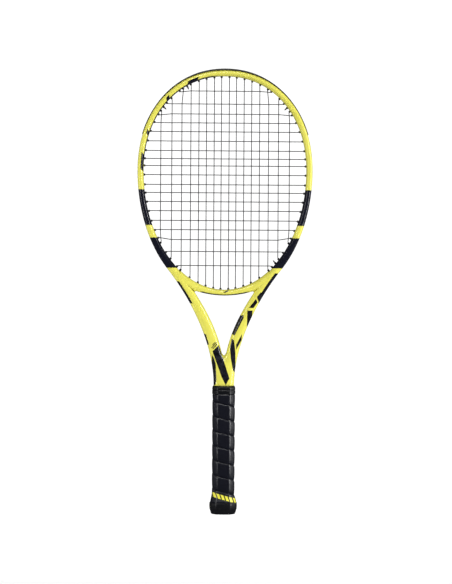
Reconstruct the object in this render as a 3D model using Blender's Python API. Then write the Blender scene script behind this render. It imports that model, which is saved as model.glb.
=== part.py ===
"""A tennis racket, standing on its butt: +Z runs up to the tip of the head and the face looks along -Y.

The frame is one hollow tube bent like a hairpin. It makes the hoop, the two arms of the throat and the
two shafts inside the handle. A bridge closes the hoop. Strips with barrels line the string holes, two
lengths of string make the string bed, and the handle carries pallets, a wound grip, a cap and a collar.
"""

import math

import bpy
import numpy as np

# Hoop: half-widths at its widest line, and how far it reaches above and below that line.
WIDEST_Z = 0.5284
INNER_HALF, INNER_RISE, INNER_DROP = 0.1255, 0.1461, 0.1830
OUTER_HALF, OUTER_RISE, OUTER_DROP = 0.1350, 0.1548, 0.2000
SQUARENESS = 2.12              # exponent of the superellipse above the widest line
SHOULDER_ANGLE = math.radians(-50)

# Arms: each edge leaves the hoop's ellipse and comes down to its shaft on one cubic.
OUTER_EASE_TOP, OUTER_EASE_END = 0.0229, 0.0809
INNER_EASE_TOP, INNER_EASE_END = 0.1271, 0.0347
OUTER_END_Z, INNER_END_Z = 0.1983, 0.2057
SHAFT_OUTER, SHAFT_INNER = 0.0158, 0.0003
HANDLE_TUBE_OUTER = 0.0110
NECK_LOW_Z, TUBE_END_Z = 0.1895, 0.0240

# Depth of the tube, front to back, at the tip, the shoulders, the arms, the throat and in the handle.
TIP_DEPTH, SHOULDER_DEPTH, ARM_DEPTH = 0.0230, 0.0260, 0.0245
THROAT_DEPTH, HANDLE_TUBE_DEPTH = 0.0230, 0.0160
SHOULDER_LOW_Z, ARM_Z = 0.40, 0.30
WALL, FACE_WALL = 0.0014, 0.0021
HOLLOW_SIDE = 0.23             # half the height of the hollow's flat sides, as a share of the depth

# Web that joins the two shafts below the crotch of the throat: height, half-width and half-depth.
WEB = ((0.2020, 0.0012, 0.0075), (0.2257, 0.0014, 0.0075), (0.2448, 0.0044, 0.0065))

# String channel in the outer side of the hoop, and what lies in it.
CHANNEL_DEPTH, CHANNEL_HALF = 0.0033, 0.0040
CHANNEL_LAST_Z = 0.3250
GAP = 0.0003
STRIP_THICK = 0.0008
BUMPER_PROUD, BUMPER_HALF = 0.0026, 0.0082
BUMPER_ANGLE = math.radians(20.4)

# Bridge: its underside at the middle and how much that has risen where it meets the arms.
BRIDGE_UNDER_Z, BRIDGE_UNDER_RISE, BRIDGE_CORNER_X = 0.3362, 0.0078, 0.0477
BRIDGE_DEPTH = 0.0216
BRIDGE_END_ANGLE = math.radians(61)
BRIDGE_SPLAY = 1.06            # the underside is a little wider than the top, square to the arch

# Strings.
MAIN_X = (0.0060, 0.0170, 0.0289, 0.0406, 0.0530, 0.0669, 0.0822, 0.0992)
CROSS_Z = (0.6515, 0.6315, 0.6160, 0.6023, 0.5887, 0.5741, 0.5594, 0.5470, 0.5361, 0.5221,
           0.5071, 0.4946, 0.4808, 0.4666, 0.4517, 0.4375, 0.4222, 0.4040, 0.3823)
STRING_RADIUS = 0.00065
WEAVE = 0.0016                 # how far a cross string steps aside at each main string
LANE = 0.0017                  # sideways place of a string as it runs along the channel
LEAST_STEP = math.radians(2.9)  # least angle between two string holes
STRAIGHT_FROM = 0.011          # a string runs straight until this close to its barrel
HOLE_RADIUS, BARREL_RADIUS, BORE_RADIUS = 0.00235, 0.0017, 0.00115
NUB = 0.0025                   # how far a barrel stands out inside the hoop
HOLE_SIDES = 6
CUT_BEYOND, BORE_BEYOND = 0.0040, 0.0030  # how far a cutter reaches past each end of its hole
MAIN_TIE_SHIFT, CROSS_TIE_SHIFT = math.radians(-2), math.radians(1)

# Where the strips end, in stations of the rail: apart from each other, and past their last hole.
STRIP_SPLIT, SIDE_STRIP_PAST, BRIDGE_STRIP_PAST = 0.04, 0.55, 0.70

# Handle: an octagon, and how far inside its outer face (the grip's) each layer's outer face lies.
GRIP_HALF, GRIP_HALF_DEPTH, GRIP_BEVEL = 0.0175, 0.0155, 0.0085
GRIP_THICK, GRIP_TURN, GRIP_SEAM = 0.0018, 0.0229, 0.0003
GRIP_LOW_Z, GRIP_TOP_Z = 0.0180, 0.1836
LEAST_TAPE, TAPE_EDGE, TAPE_EDGE_SHARE = 0.0020, 0.0022, 0.55
PALLET_INSET, PALLET_TOP_Z, PALLET_LOW_Z = 0.0021, 0.1890, 0.0035
POCKET = (0.0113, 0.0083, 0.0030)  # half-width, half-depth and bevel of the space for the shafts
SKIRT_TOP_Z, SKIRT_THICK = 0.0420, 0.0015
TAPE_THICK, TAPE_MARGIN, COLLAR_THICK = 0.00035, 0.0004, 0.0015
COLLAR_LOW_Z, COLLAR_TOP_Z, COLLAR_STEP = 0.1842, 0.1974, 0.0056
COLLAR_NECK = (0.0168, 0.0120, 0.0042)  # half-width, half-depth and bevel of the hole in its top
COLLAR_PROFILE = ((0.0, 0.0006), (0.0010, 0.0), (0.0054, 0.0), (0.0062, 0.0005),
                  (0.0070, 0.0005), (0.0078, 0.0), (0.0120, 0.0), (0.0132, 0.0002))
CAP_FLOOR = 0.0025
CAP_PROFILE = ((0.0, 0.0171), (0.0008, 0.0183), (0.0040, 0.0196), (0.0085, 0.0210),
               (0.0130, 0.0213), (0.0176, 0.0209))
FLARE_Z, FLARE_OUT = (GRIP_LOW_Z, 0.0225, 0.0270, 0.0310), (0.0034, 0.0019, 0.0008, 0.0)
DOOR_HALF, DOOR_HALF_DEPTH, DOOR_BEVEL, DOOR_RECESS = 0.0098, 0.0068, 0.0022, 0.0005
DOOR_PROFILE = ((0.0, 0.0), (0.0016, 0.0), (0.0016, 0.0012), (0.0046, 0.0012), (0.0054, 0.0018))
STAPLE_HALF, STAPLE_WIRE, STAPLE_LEG, STAPLE_Z = 0.0035, 0.0007, 0.0035, 0.0340
STAPLE_X, STAPLE_SINK, SLOT_PROUD = 0.0045, 0.0001, 0.0010
PLUG_FIT, PLUG_Z, WEIGHT_Z = 0.91, (0.0250, 0.0460), (0.0110, 0.0200)


SHARP_ANGLE = math.radians(35)
BEVEL_LOSS = 2 - math.sqrt(2)  # an octagon's bevel narrows by this share of an inset


def clear_scene():
    for obj in list(bpy.data.objects):
        bpy.data.objects.remove(obj)


def material(name, color, roughness, metallic=0.0):
    made = bpy.data.materials.new(name)
    made.use_nodes = True
    shader = made.node_tree.nodes["Principled BSDF"]
    shader.inputs["Base Color"].default_value = (*color, 1.0)
    shader.inputs["Roughness"].default_value = roughness
    shader.inputs["Metallic"].default_value = metallic
    return made


def mesh_object(name, points, faces, finish=None):
    mesh = bpy.data.meshes.new(name)
    mesh.from_pydata([tuple(map(float, p)) for p in points], [], faces)
    mesh.update()
    mesh.shade_smooth()
    mesh.set_sharp_from_angle(angle=SHARP_ANGLE)
    obj = bpy.data.objects.new(name, mesh)
    bpy.context.scene.collection.objects.link(obj)
    if finish:
        mesh.materials.append(finish)
    return obj


def hide_as_helper(obj):
    obj.hide_render = True
    obj.display_type = "WIRE"
    return obj


def boolean(obj, operation, other):
    modifier = obj.modifiers.new(operation.title() + " " + other.name, "BOOLEAN")
    modifier.operation = operation
    modifier.object = other
    modifier.solver = "EXACT"


# ---------------------------------------------------------------- lofts and prisms


def ring_faces(count, first, second):
    """Quads between two rings of count points whose first points have these indices."""
    return [(first + i, first + (i + 1) % count, second + (i + 1) % count, second + i)
            for i in range(count)]


def loft(rings, closed=False):
    """Points and faces of a skin over rings of points; it ends in flat caps, or closes on itself."""
    count = len(rings[0])
    points = np.concatenate(rings)
    faces = []
    for k in range(len(rings) - 1):
        faces += ring_faces(count, k * count, (k + 1) * count)
    last = (len(rings) - 1) * count
    if closed:
        faces += ring_faces(count, last, 0)
    else:
        faces += [tuple(reversed(range(count))), tuple(range(last, last + count))]
    return points, faces


def facing_out(points, faces):
    """The same faces, turned over if they enclose a negative volume."""
    total = 0.0
    for face in faces:
        for i in range(1, len(face) - 1):
            total += np.dot(points[face[0]], np.cross(points[face[i]], points[face[i + 1]]))
    return faces if total > 0 else [tuple(reversed(face)) for face in faces]


def lofted(name, rings, finish=None, closed=False):
    points, faces = loft([np.asarray(ring, float) for ring in rings], closed)
    return mesh_object(name, points, facing_out(points, faces), finish)


def rod_between(start, end, radius, sides):
    """Points and faces of a straight prism with a regular section."""
    along = (end - start) / np.linalg.norm(end - start)
    across = np.array([0.0, 1.0, 0.0])
    third = np.cross(along, across)
    turn = (np.arange(sides) + 0.5) * 2 * math.pi / sides
    ring = radius * (np.outer(np.cos(turn), across) + np.outer(np.sin(turn), third))
    points, faces = loft([start + ring, end + ring])
    return points, facing_out(points, faces)


def joined(name, solids, finish=None):
    """One object from several separate solids."""
    points, faces, count = [], [], 0
    for solid_points, solid_faces in solids:
        points.append(solid_points)
        faces += [tuple(index + count for index in face) for face in solid_faces]
        count += len(solid_points)
    return mesh_object(name, np.concatenate(points), faces, finish)


def octagon(half, half_depth, bevel, z):
    """Eight points round an upright octagon whose corners are cut by bevel."""
    x, y = half - bevel, half_depth - bevel
    flat = [(x, -half_depth), (half, -y), (half, y), (x, half_depth),
            (-x, half_depth), (-half, y), (-half, -y), (-x, -half_depth)]
    return [(px, py, z) for px, py in flat]


def handle_ring(inset, z):
    """Eight points of the handle's octagon at height z, this far inside the grip's outer face."""
    return octagon(GRIP_HALF - inset, GRIP_HALF_DEPTH - inset, GRIP_BEVEL - BEVEL_LOSS * inset, z)


# ---------------------------------------------------------------- the hairpin's two edges


def egg(angle, half, rise, drop):
    """Points (x, z) of the hoop: a superellipse above the widest line and an ellipse below it."""
    cos, sin = np.cos(angle), np.sin(angle)
    power = np.where(sin > 0, 2 / SQUARENESS, 1.0)
    x = half * np.sign(cos) * np.abs(cos) ** power
    z = WIDEST_Z + np.where(sin > 0, rise, drop) * np.sign(sin) * np.abs(sin) ** power
    return np.stack([x, z], axis=-1)


def arm_edge(half, drop, ease_top, ease_end, end_x, end_z, shares):
    """Points (x, z) of one edge of the right arm: a cubic from the hoop's ellipse to the shaft."""
    start = egg(SHOULDER_ANGLE, half, 0, drop)
    lean = np.array([half * math.sin(SHOULDER_ANGLE), -drop * math.cos(SHOULDER_ANGLE)])
    lean /= np.linalg.norm(lean)
    end = np.array([end_x, end_z])
    a, b = start + ease_top * lean, end + (0, ease_end)
    t = shares[:, None]
    return (1 - t) ** 3 * start + 3 * (1 - t) ** 2 * t * a + 3 * (1 - t) * t * t * b + t ** 3 * end


def inner_edge(hoop_steps, arm_steps, shaft_steps):
    """Points (x, z) of the right half's inner edge, from the tip down to the tube's end."""
    angles = np.linspace(math.pi / 2, SHOULDER_ANGLE, hoop_steps + 1)
    shares = np.linspace(0, 1, arm_steps + 1)[1:]
    shaft_z = np.linspace(INNER_END_Z, TUBE_END_Z, shaft_steps + 1)[1:]
    return np.concatenate([
        egg(angles, INNER_HALF, INNER_RISE, INNER_DROP),
        arm_edge(INNER_HALF, INNER_DROP, INNER_EASE_TOP, INNER_EASE_END,
                 SHAFT_INNER, INNER_END_Z, shares),
        np.stack([np.full(shaft_steps, SHAFT_INNER), shaft_z], axis=-1)])


def outer_edge(hoop_steps, arm_steps):
    """Points (x, z) of the right half's outer edge, one for each station of the tube."""
    angles = np.linspace(math.pi / 2, SHOULDER_ANGLE, hoop_steps + 1)
    shares = np.linspace(0, 1, arm_steps + 1)[1:]
    return np.concatenate([
        egg(angles, OUTER_HALF, OUTER_RISE, OUTER_DROP),
        arm_edge(OUTER_HALF, OUTER_DROP, OUTER_EASE_TOP, OUTER_EASE_END,
                 SHAFT_OUTER, OUTER_END_Z, shares),
        [[HANDLE_TUBE_OUTER, NECK_LOW_Z], [HANDLE_TUBE_OUTER, TUBE_END_Z]]])


FINE_STEPS = (1500, 800, 800)  # points of the inner edge among which the nearest one is looked for


def right_edges(hoop_steps, arm_steps):
    """Each station's outer point, with the nearest point of the inner edge across from it."""
    fine = inner_edge(*FINE_STEPS)
    outer = outer_edge(hoop_steps, arm_steps)
    far = np.linalg.norm(outer[:, None] - fine[None], axis=-1)
    inner = fine[np.argmin(far, axis=1)]
    inner[0, 0] = 0.0
    return inner, outer


def both_halves(right):
    """The right half's points with their mirror image before them, from left end to right end."""
    left = right[:0:-1] * (-1, 1)
    return np.concatenate([left, right])


class Rail:
    """The inner and outer edge of a bent bar in the plane of the face, station by station."""

    def __init__(self, inner, outer):
        self.inner, self.outer = inner, outer
        self.place = np.arange(len(inner), dtype=float)

    def at(self, place):
        """The inner and outer points (x, z) at a place between stations."""
        inner = [np.interp(place, self.place, self.inner[:, k]) for k in (0, 1)]
        outer = [np.interp(place, self.place, self.outer[:, k]) for k in (0, 1)]
        return np.stack(inner, axis=-1), np.stack(outer, axis=-1)

    def on_outer(self, place, height):
        """Points (x, z) this far above the outer edge, square to the bar."""
        inner, outer = self.at(place)
        out = (outer - inner) / np.linalg.norm(outer - inner, axis=-1, keepdims=True)
        return outer + np.asarray(height)[..., None] * out

    def place_on_ray(self, start, direction):
        """The place whose outer point lies nearest to a ray from start."""
        fine = np.linspace(0, self.place[-1], 4001)
        offset = self.at(fine)[1] - start
        ahead = offset @ direction
        aside = np.abs(offset[:, 0] * direction[1] - offset[:, 1] * direction[0])
        return fine[np.argmin(np.where(ahead > 0, aside, 1.0))]


HOOP_STEPS, ARM_STEPS = 22, 10
FRAME_RAIL = Rail(*map(both_halves, right_edges(HOOP_STEPS, ARM_STEPS)))
TIP_PLACE = (len(FRAME_RAIL.place) - 1) / 2


def bridge_rail():
    """The bridge from left to right: the hoop's ellipse above it and its own arch below."""
    spread = np.linspace(-BRIDGE_END_ANGLE / 2, BRIDGE_END_ANGLE / 2, 15)
    angle = spread - math.pi / 2
    top = egg(angle, INNER_HALF, INNER_RISE, INNER_DROP)
    x = top[:, 0] * BRIDGE_SPLAY
    under = BRIDGE_UNDER_Z + BRIDGE_UNDER_RISE * (x / BRIDGE_CORNER_X) ** 2
    return Rail(top, np.stack([x, under], axis=-1))


BRIDGE_RAIL = bridge_rail()


# ---------------------------------------------------------------- sections of the tube


def tube_depth(z):
    """Front to back size of the tube at this height."""
    heights = (TUBE_END_Z, NECK_LOW_Z, OUTER_END_Z, ARM_Z, SHOULDER_LOW_Z, WIDEST_Z,
               WIDEST_Z + OUTER_RISE)
    depths = (HANDLE_TUBE_DEPTH, HANDLE_TUBE_DEPTH, THROAT_DEPTH, ARM_DEPTH, SHOULDER_DEPTH,
              SHOULDER_DEPTH, TIP_DEPTH)
    return float(np.interp(z, heights, depths))


def skin_section(width, depth, channel, grow=0.0):
    """The tube's outline (out, y), with its channel in the outer side; grow swells it all round."""
    w, d, h = width / 2 + grow, depth + 2 * grow, CHANNEL_HALF - grow
    half = [(-w, 0.28), (-0.66 * w, 0.43), (0.05 * w, 0.5), (0.66 * w, 0.43), (w, 0.28)]
    front = [(out, -share * d) for out, share in half] + [(w, -h), (w - channel, -h)]
    return front + [(out, -y) for out, y in reversed(front)]


def hollow_section(width, depth, channel):
    low, high = WALL - width / 2, width / 2 - WALL - (channel if channel > WALL / 4 else 0)
    middle = (low + high) / 2
    side = HOLLOW_SIDE * depth
    front = [(low, -side), (middle, FACE_WALL - depth / 2), (high, -side)]
    return front + [(out, -y) for out, y in reversed(front)]


def placed(section, inner, outer):
    """A section (out, y) carried to the station between an inner and an outer edge point."""
    out = (outer - inner) / np.linalg.norm(outer - inner)
    centre = (inner + outer) / 2
    return [(centre[0] + u * out[0], y, centre[1] + u * out[1]) for u, y in section]


def frame_rings(section, grow=None):
    rings = []
    for inner, outer in zip(FRAME_RAIL.inner, FRAME_RAIL.outer):
        width = np.linalg.norm(outer - inner)
        channel = CHANNEL_DEPTH if outer[1] > CHANNEL_LAST_Z else WALL / 8
        extra = () if grow is None else (grow,)
        rings.append(placed(section(width, tube_depth(outer[1]), channel, *extra), inner, outer))
    return rings


def bridge_section(width, depth):
    w, h = width / 2, CHANNEL_HALF
    half = [(-w, 0.30), (-0.55 * w, 0.46), (0.3 * w, 0.5), (w, 0.34)]
    front = [(out, -share * depth) for out, share in half] + [(w, -h), (w - CHANNEL_DEPTH, -h)]
    return front + [(out, -y) for out, y in reversed(front)]


# ---------------------------------------------------------------- where the strings go


def spread(angles):
    """The same angles, pushed apart until no two neighbours are closer than LEAST_STEP."""
    order = np.argsort(angles)
    row = np.asarray(angles, float)[order]
    for _ in range(400):
        short = np.maximum(0, LEAST_STEP - np.diff(row)) / 2
        row[:-1] -= short
        row[1:] += short
    back = np.empty_like(row)
    back[order] = row
    return back


def tip_egg(angle):
    """Points (x, z) on the curve that joins the barrels' inner ends."""
    return egg(angle, INNER_HALF - NUB, INNER_RISE - NUB, INNER_DROP - NUB)


def angle_at_x(x, upper):
    share = x / (INNER_HALF - NUB)
    return math.acos(share ** (SQUARENESS / 2)) if upper else -math.acos(share)


def angle_at_z(z):
    if z > WIDEST_Z:
        return math.asin(((z - WIDEST_Z) / (INNER_RISE - NUB)) ** (SQUARENESS / 2))
    return -math.asin((WIDEST_Z - z) / (INNER_DROP - NUB))


def hole_angles():
    """Angles of the string holes of the right half, by name, with the four tie-off holes."""
    names = [("main top", k) for k in range(8)] + [("main foot", k) for k in range(8)]
    angles = [angle_at_x(x, True) for x in MAIN_X] + [angle_at_x(x, False) for x in MAIN_X]
    names += [("cross", j) for j in range(len(CROSS_Z))]
    angles += [angle_at_z(z) for z in CROSS_Z]
    found = dict(zip(names, angles))
    ties = {"main tie": (found["main top", 7] + found["main top", 6]) / 2 + MAIN_TIE_SHIFT,
            "cross top tie": (found["main top", 5] + found["main top", 4]) / 2 + CROSS_TIE_SHIFT,
            "cross foot tie": (found["cross", 18] + found["main foot", 6]) / 2}
    names += list(ties)
    return dict(zip(names, spread(angles + list(ties.values()))))


class Hole:
    """One string hole: its barrel's inner end, its mouth in the channel and its place on the rail."""

    def __init__(self, name, angle, side):
        on_bridge = isinstance(name, tuple) and name[0] == "main foot" and name[1] < 4
        self.rail = BRIDGE_RAIL if on_bridge else FRAME_RAIL
        mirror = np.array([side, 1.0])
        self.tip = tip_egg(np.float64(angle)) * mirror
        near = egg(np.float64(angle), INNER_HALF, INNER_RISE, INNER_DROP) * mirror
        self.out = (near - self.tip) / np.linalg.norm(near - self.tip)
        if on_bridge:
            self.out = (self.out + (0, -1)) / np.linalg.norm(self.out + (0, -1))
        self.place = self.rail.place_on_ray(self.tip, self.out)
        self.surface = self.rail.at(self.place)[1]

    def along(self, height):
        """The point (x, 0, z) on the hole's axis, this far above the bar's outer surface."""
        point = self.surface + height * self.out
        return np.array([point[0], 0.0, point[1]])

    def tip_point(self, beyond=0.0):
        point = self.tip - beyond * self.out
        return np.array([point[0], 0.0, point[1]])


def all_holes():
    """Every string hole by name and side; the cross string is tied once on each side only."""
    holes = {(name, side): Hole(name, angle, side)
             for name, angle in hole_angles().items() for side in (-1, 1)}
    del holes["cross top tie", 1], holes["cross foot tie", -1]
    return holes


HOLES = all_holes()


# ---------------------------------------------------------------- string routes


def plan_of(start, end, level, upright):
    """A string in plan: from barrel to barrel, straight along its own line between them."""
    along = 1 if upright else 0
    sign = 1 if end.tip[along] > start.tip[along] else -1
    points = [start.tip, np.array(start.tip), np.array(end.tip), end.tip]
    for point, step in ((points[1], sign), (points[2], -sign)):
        point[along] += step * STRAIGHT_FROM
        point[1 - along] = level
    return np.array(points)


def crossing(first, second):
    """Where two plans meet, as a point (x, z), or None."""
    for a, b in zip(first[:-1], first[1:]):
        for c, d in zip(second[:-1], second[1:]):
            across = np.array([b - a, c - d]).T
            if abs(np.linalg.det(across)) < 1e-12:
                continue
            s, t = np.linalg.solve(across, c - a)
            if 0 <= s <= 1 and 0 <= t <= 1:
                return a + s * (b - a)
    return None


def string_plans():
    mains, crosses = [], []
    for i in range(16):
        side, k = (-1, 7 - i) if i < 8 else (1, i - 8)
        foot, top = HOLES[("main foot", k), side], HOLES[("main top", k), side]
        mains.append((foot, top, plan_of(foot, top, side * MAIN_X[k], True)))
    for j, z in enumerate(CROSS_Z):
        left, right = HOLES[("cross", j), -1], HOLES[("cross", j), 1]
        crosses.append((left, right, plan_of(left, right, z, False)))
    return mains, crosses


def channel_run(start, end, lane):
    """Points of a string that leaves one barrel, runs along the channel and enters another."""
    height = STRING_RADIUS + 2 * GAP + STRIP_THICK - CHANNEL_DEPTH
    places = np.linspace(start.place, end.place, 5)[1:-1]
    middle = start.rail.on_outer(places, np.full(3, height))
    return ([start.along(height)] + [np.array([x, lane, z]) for x, z in middle]
            + [end.along(height)])


def knot_at(hole):
    """Points past a barrel's inner end, and how thick the string is there: it swells into a knot."""
    return ([hole.tip_point(), hole.tip_point(0.0010), hole.tip_point(0.0022),
             hole.tip_point(0.0036), hole.tip_point(0.0042)], [1.0, 1.6, 2.3, 1.7, 0.8])


def main_route(mains):
    """The main string: down and up by turns, from one tied end at the top left to the other."""
    route, swell = knot_at(HOLES["main tie", -1])
    route, swell = route[::-1], swell[::-1]
    route += channel_run(HOLES["main tie", -1], mains[0][1], LANE)
    for i, (foot, top, plan) in enumerate(mains):
        points = [np.array([x, 0.0, z]) for x, z in plan]
        down = i % 2 == 0
        route += points[::-1] if down else points
        if i < len(mains) - 1:
            end = foot if down else top
            other = mains[i + 1][0] if down else mains[i + 1][1]
            route += channel_run(end, other, LANE)
    route += channel_run(mains[-1][1], HOLES["main tie", 1], LANE)
    points, thick = knot_at(HOLES["main tie", 1])
    swell += [1.0] * (len(route) - len(swell)) + thick
    return route + points, swell


def cross_points(j, plan, mains):
    """One cross string's points: over and under the mains by turns."""
    found = []
    for i, (_, _, main_plan) in enumerate(mains):
        at = crossing(plan, main_plan)
        if at is not None:
            found.append(np.array([at[0], WEAVE * (-1) ** (i + j), at[1]]))
    ends = [np.array([x, 0.0, z]) for x, z in (plan[0], plan[-1])]
    return [ends[0]] + found + [ends[1]]


def cross_route(mains, crosses):
    """The cross string: from side to side, from one tied end at the top left to the bottom right."""
    route, swell = knot_at(HOLES["cross top tie", -1])
    route, swell = route[::-1], swell[::-1]
    route += channel_run(HOLES["cross top tie", -1], crosses[0][0], -LANE)
    for j, (left, right, plan) in enumerate(crosses):
        points = cross_points(j, plan, mains)
        rightward = j % 2 == 0
        route += points if rightward else points[::-1]
        if j < len(crosses) - 1:
            side = 1 if rightward else 0
            route += channel_run(crosses[j][side], crosses[j + 1][side], -LANE)
    route += channel_run(crosses[-1][1], HOLES["cross foot tie", 1], -LANE)
    points, thick = knot_at(HOLES["cross foot tie", 1])
    swell += [1.0] * (len(route) - len(swell)) + thick
    return route + points, swell


def string_object(name, route, swell, finish):
    curve = bpy.data.curves.new(name, "CURVE")
    curve.dimensions = "3D"
    curve.bevel_depth = STRING_RADIUS
    curve.bevel_resolution = 0
    curve.use_fill_caps = True
    spline = curve.splines.new("POLY")
    spline.points.add(len(route) - 1)
    for point, place, thick in zip(spline.points, route, swell):
        point.co = (*place, 1.0)
        point.radius = thick
    curve.materials.append(finish)
    obj = bpy.data.objects.new(name, curve)
    bpy.context.scene.collection.objects.link(obj)
    return obj


# ---------------------------------------------------------------- frame, bridge and strips


def hole_cutters():
    rods = [rod_between(hole.tip_point(CUT_BEYOND), hole.along(CUT_BEYOND), HOLE_RADIUS, HOLE_SIDES)
            for hole in HOLES.values()]
    return hide_as_helper(joined("string_holes", rods))


def barrel_rods(rail, places):
    """Barrels of the strip that covers these places, from the strip's floor to their inner ends."""
    floor = GAP + STRIP_THICK / 2 - CHANNEL_DEPTH
    chosen = [hole for hole in HOLES.values()
              if hole.rail is rail and places[0] < hole.place < places[1]]
    barrels = [rod_between(hole.tip_point(), hole.along(floor), BARREL_RADIUS, HOLE_SIDES)
               for hole in chosen]
    bores = [rod_between(hole.tip_point(BORE_BEYOND), hole.along(BORE_BEYOND), BORE_RADIUS,
                         HOLE_SIDES) for hole in chosen]
    return barrels, bores


def strip_section(profile):
    """A strip's outline from half of it, given as (height above the bar's outer side, y)."""
    return profile + [(u, -y) for u, y in reversed(profile)]


FLOOR_LOW, FLOOR_HIGH = GAP - CHANNEL_DEPTH, GAP + STRIP_THICK - CHANNEL_DEPTH
STRIP_HALF = CHANNEL_HALF - GAP
GROOVE_HALF = LANE + STRING_RADIUS + GAP
PLAIN_STRIP = strip_section([(FLOOR_LOW, -STRIP_HALF), (FLOOR_HIGH, -STRIP_HALF)])
BUMPER = strip_section([(FLOOR_LOW, -STRIP_HALF), (GAP, -STRIP_HALF), (GAP, -BUMPER_HALF),
                        (BUMPER_PROUD * 0.7, -BUMPER_HALF), (BUMPER_PROUD, 0.0006 - BUMPER_HALF),
                        (BUMPER_PROUD, -GROOVE_HALF), (FLOOR_HIGH, -GROOVE_HALF)])


def strip_along(name, rail, first, last, section, finish):
    """A strip of this section along the rail's outer side, with its barrels and their bores."""
    whole = [p for p in rail.place if first + 0.2 < p < last - 0.2]
    rings = []
    for place in [first] + whole + [last]:
        inner, outer = rail.at(place)
        width = np.linalg.norm(outer - inner)
        rings.append(placed([(width / 2 + u, y) for u, y in section], inner, outer))
    strip = lofted(name, rings, finish)
    barrels, bores = barrel_rods(rail, (first, last))
    boolean(strip, "UNION", hide_as_helper(joined(name + "_barrels", barrels)))
    boolean(strip, "DIFFERENCE", hide_as_helper(joined(name + "_bores", bores)))
    return strip


def make_frame(finish):
    frame = lofted("frame_hairpin", frame_rings(skin_section, 0.0), finish)
    hollow = frame_rings(hollow_section)
    below = np.array([0.0, 0.0, -CUT_BEYOND])
    hollow[0] = [np.add(point, below) for point in hollow[0]]
    hollow[-1] = [np.add(point, below) for point in hollow[-1]]
    boolean(frame, "DIFFERENCE", hide_as_helper(lofted("tube_hollow", hollow)))
    web = [[(side * x, y, z) for side, y in ((-1, -deep), (1, -deep), (1, deep), (-1, deep))]
           for z, x, deep in WEB]
    boolean(frame, "UNION", hide_as_helper(lofted("crotch_web", web)))
    boolean(frame, "DIFFERENCE", bpy.data.objects["string_holes"])
    return frame


def make_bridge(finish):
    rings = []
    for inner, outer in zip(BRIDGE_RAIL.inner, BRIDGE_RAIL.outer):
        width = np.linalg.norm(outer - inner)
        rings.append(placed(bridge_section(width, BRIDGE_DEPTH), inner, outer))
    bridge = lofted("throat_bridge", rings, finish)
    swollen = hide_as_helper(lofted("frame_clearance", frame_rings(skin_section, GAP)))
    boolean(bridge, "DIFFERENCE", swollen)
    boolean(bridge, "DIFFERENCE", bpy.data.objects["string_holes"])
    return bridge


def place_of_angle(angle):
    """The rail's place at this angle on the right half of the hoop."""
    return TIP_PLACE + HOOP_STEPS * (math.pi / 2 - angle) / (math.pi / 2 - SHOULDER_ANGLE)


def make_strips(finish):
    right = place_of_angle(BUMPER_ANGLE)
    left = 2 * TIP_PLACE - right
    foot = HOLES[("main foot", 4), 1].place + SIDE_STRIP_PAST
    strip_along("bumper_guard", FRAME_RAIL, left + STRIP_SPLIT, right - STRIP_SPLIT, BUMPER, finish)
    strip_along("grommet_strip_right", FRAME_RAIL, right + STRIP_SPLIT, foot, PLAIN_STRIP, finish)
    strip_along("grommet_strip_left", FRAME_RAIL, 2 * TIP_PLACE - foot, left - STRIP_SPLIT,
                PLAIN_STRIP, finish)
    edge = HOLES[("main foot", 3), 1].place + BRIDGE_STRIP_PAST
    strip = strip_along("bridge_grommet_strip", BRIDGE_RAIL, BRIDGE_RAIL.place[-1] - edge, edge,
                        PLAIN_STRIP, finish)
    boolean(strip, "DIFFERENCE", bpy.data.objects["frame_clearance"])


# ---------------------------------------------------------------- handle


def pallet_half(name, side, finish):
    """Half of the handle's foam: a channel-shaped prism, thinner where the cap's skirt fits."""
    thin = PALLET_INSET + SKIRT_THICK + GAP
    levels = ((PALLET_LOW_Z, thin), (SKIRT_TOP_Z + GAP, thin),
              (SKIRT_TOP_Z + 2 * GAP, PALLET_INSET), (PALLET_TOP_Z, PALLET_INSET))
    rings = []
    for z, inset in levels:
        ring = []
        for points in (handle_ring(inset, z), octagon(*POCKET, z)[::-1]):
            behind = [(x, side * y, z) for x, y, _ in points if y > 0]
            joint = GAP / 2 * side
            ring += [(behind[0][0], joint, z)] + behind + [(behind[-1][0], joint, z)]
        rings.append(ring)
    return lofted(name, rings, finish)


def grip_flare(z):
    """How far the grip stands out beyond the straight handle at this height, over the cap."""
    return float(np.interp(z, FLARE_Z, FLARE_OUT))


def grip_corner(k, z, out):
    """Corner k of the grip at this height, this far outside the grip's inner side."""
    return handle_ring(GRIP_THICK - out - grip_flare(z), z)[k % 8]


def make_grip(finish):
    """The grip's tape: wound from the cap up to the collar, with cut ends that lie level."""
    steps_per_turn = 8  # one for each corner of the handle
    turns = (GRIP_TOP_Z - GRIP_LOW_Z) / GRIP_TURN + 1
    count = int(turns * steps_per_turn) + 1
    rings = []
    for k in range(count + 1):
        middle = GRIP_LOW_Z - GRIP_TURN / 2 + GRIP_TURN * k / steps_per_turn
        low = max(middle - (GRIP_TURN - GRIP_SEAM) / 2, GRIP_LOW_Z)
        high = min(middle + (GRIP_TURN - GRIP_SEAM) / 2, GRIP_TOP_Z)
        if high - low < LEAST_TAPE:
            continue
        edge = min(TAPE_EDGE, (high - low) / 3)
        corner = -k
        thin = GRIP_THICK * TAPE_EDGE_SHARE
        section = [(low, 0.0), (low, thin), (low + edge, GRIP_THICK),
                   (high - edge, GRIP_THICK), (high, thin), (high, 0.0)]
        rings.append([grip_corner(corner, z, out) for z, out in section])
    return lofted("base_grip", rings, finish)


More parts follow.
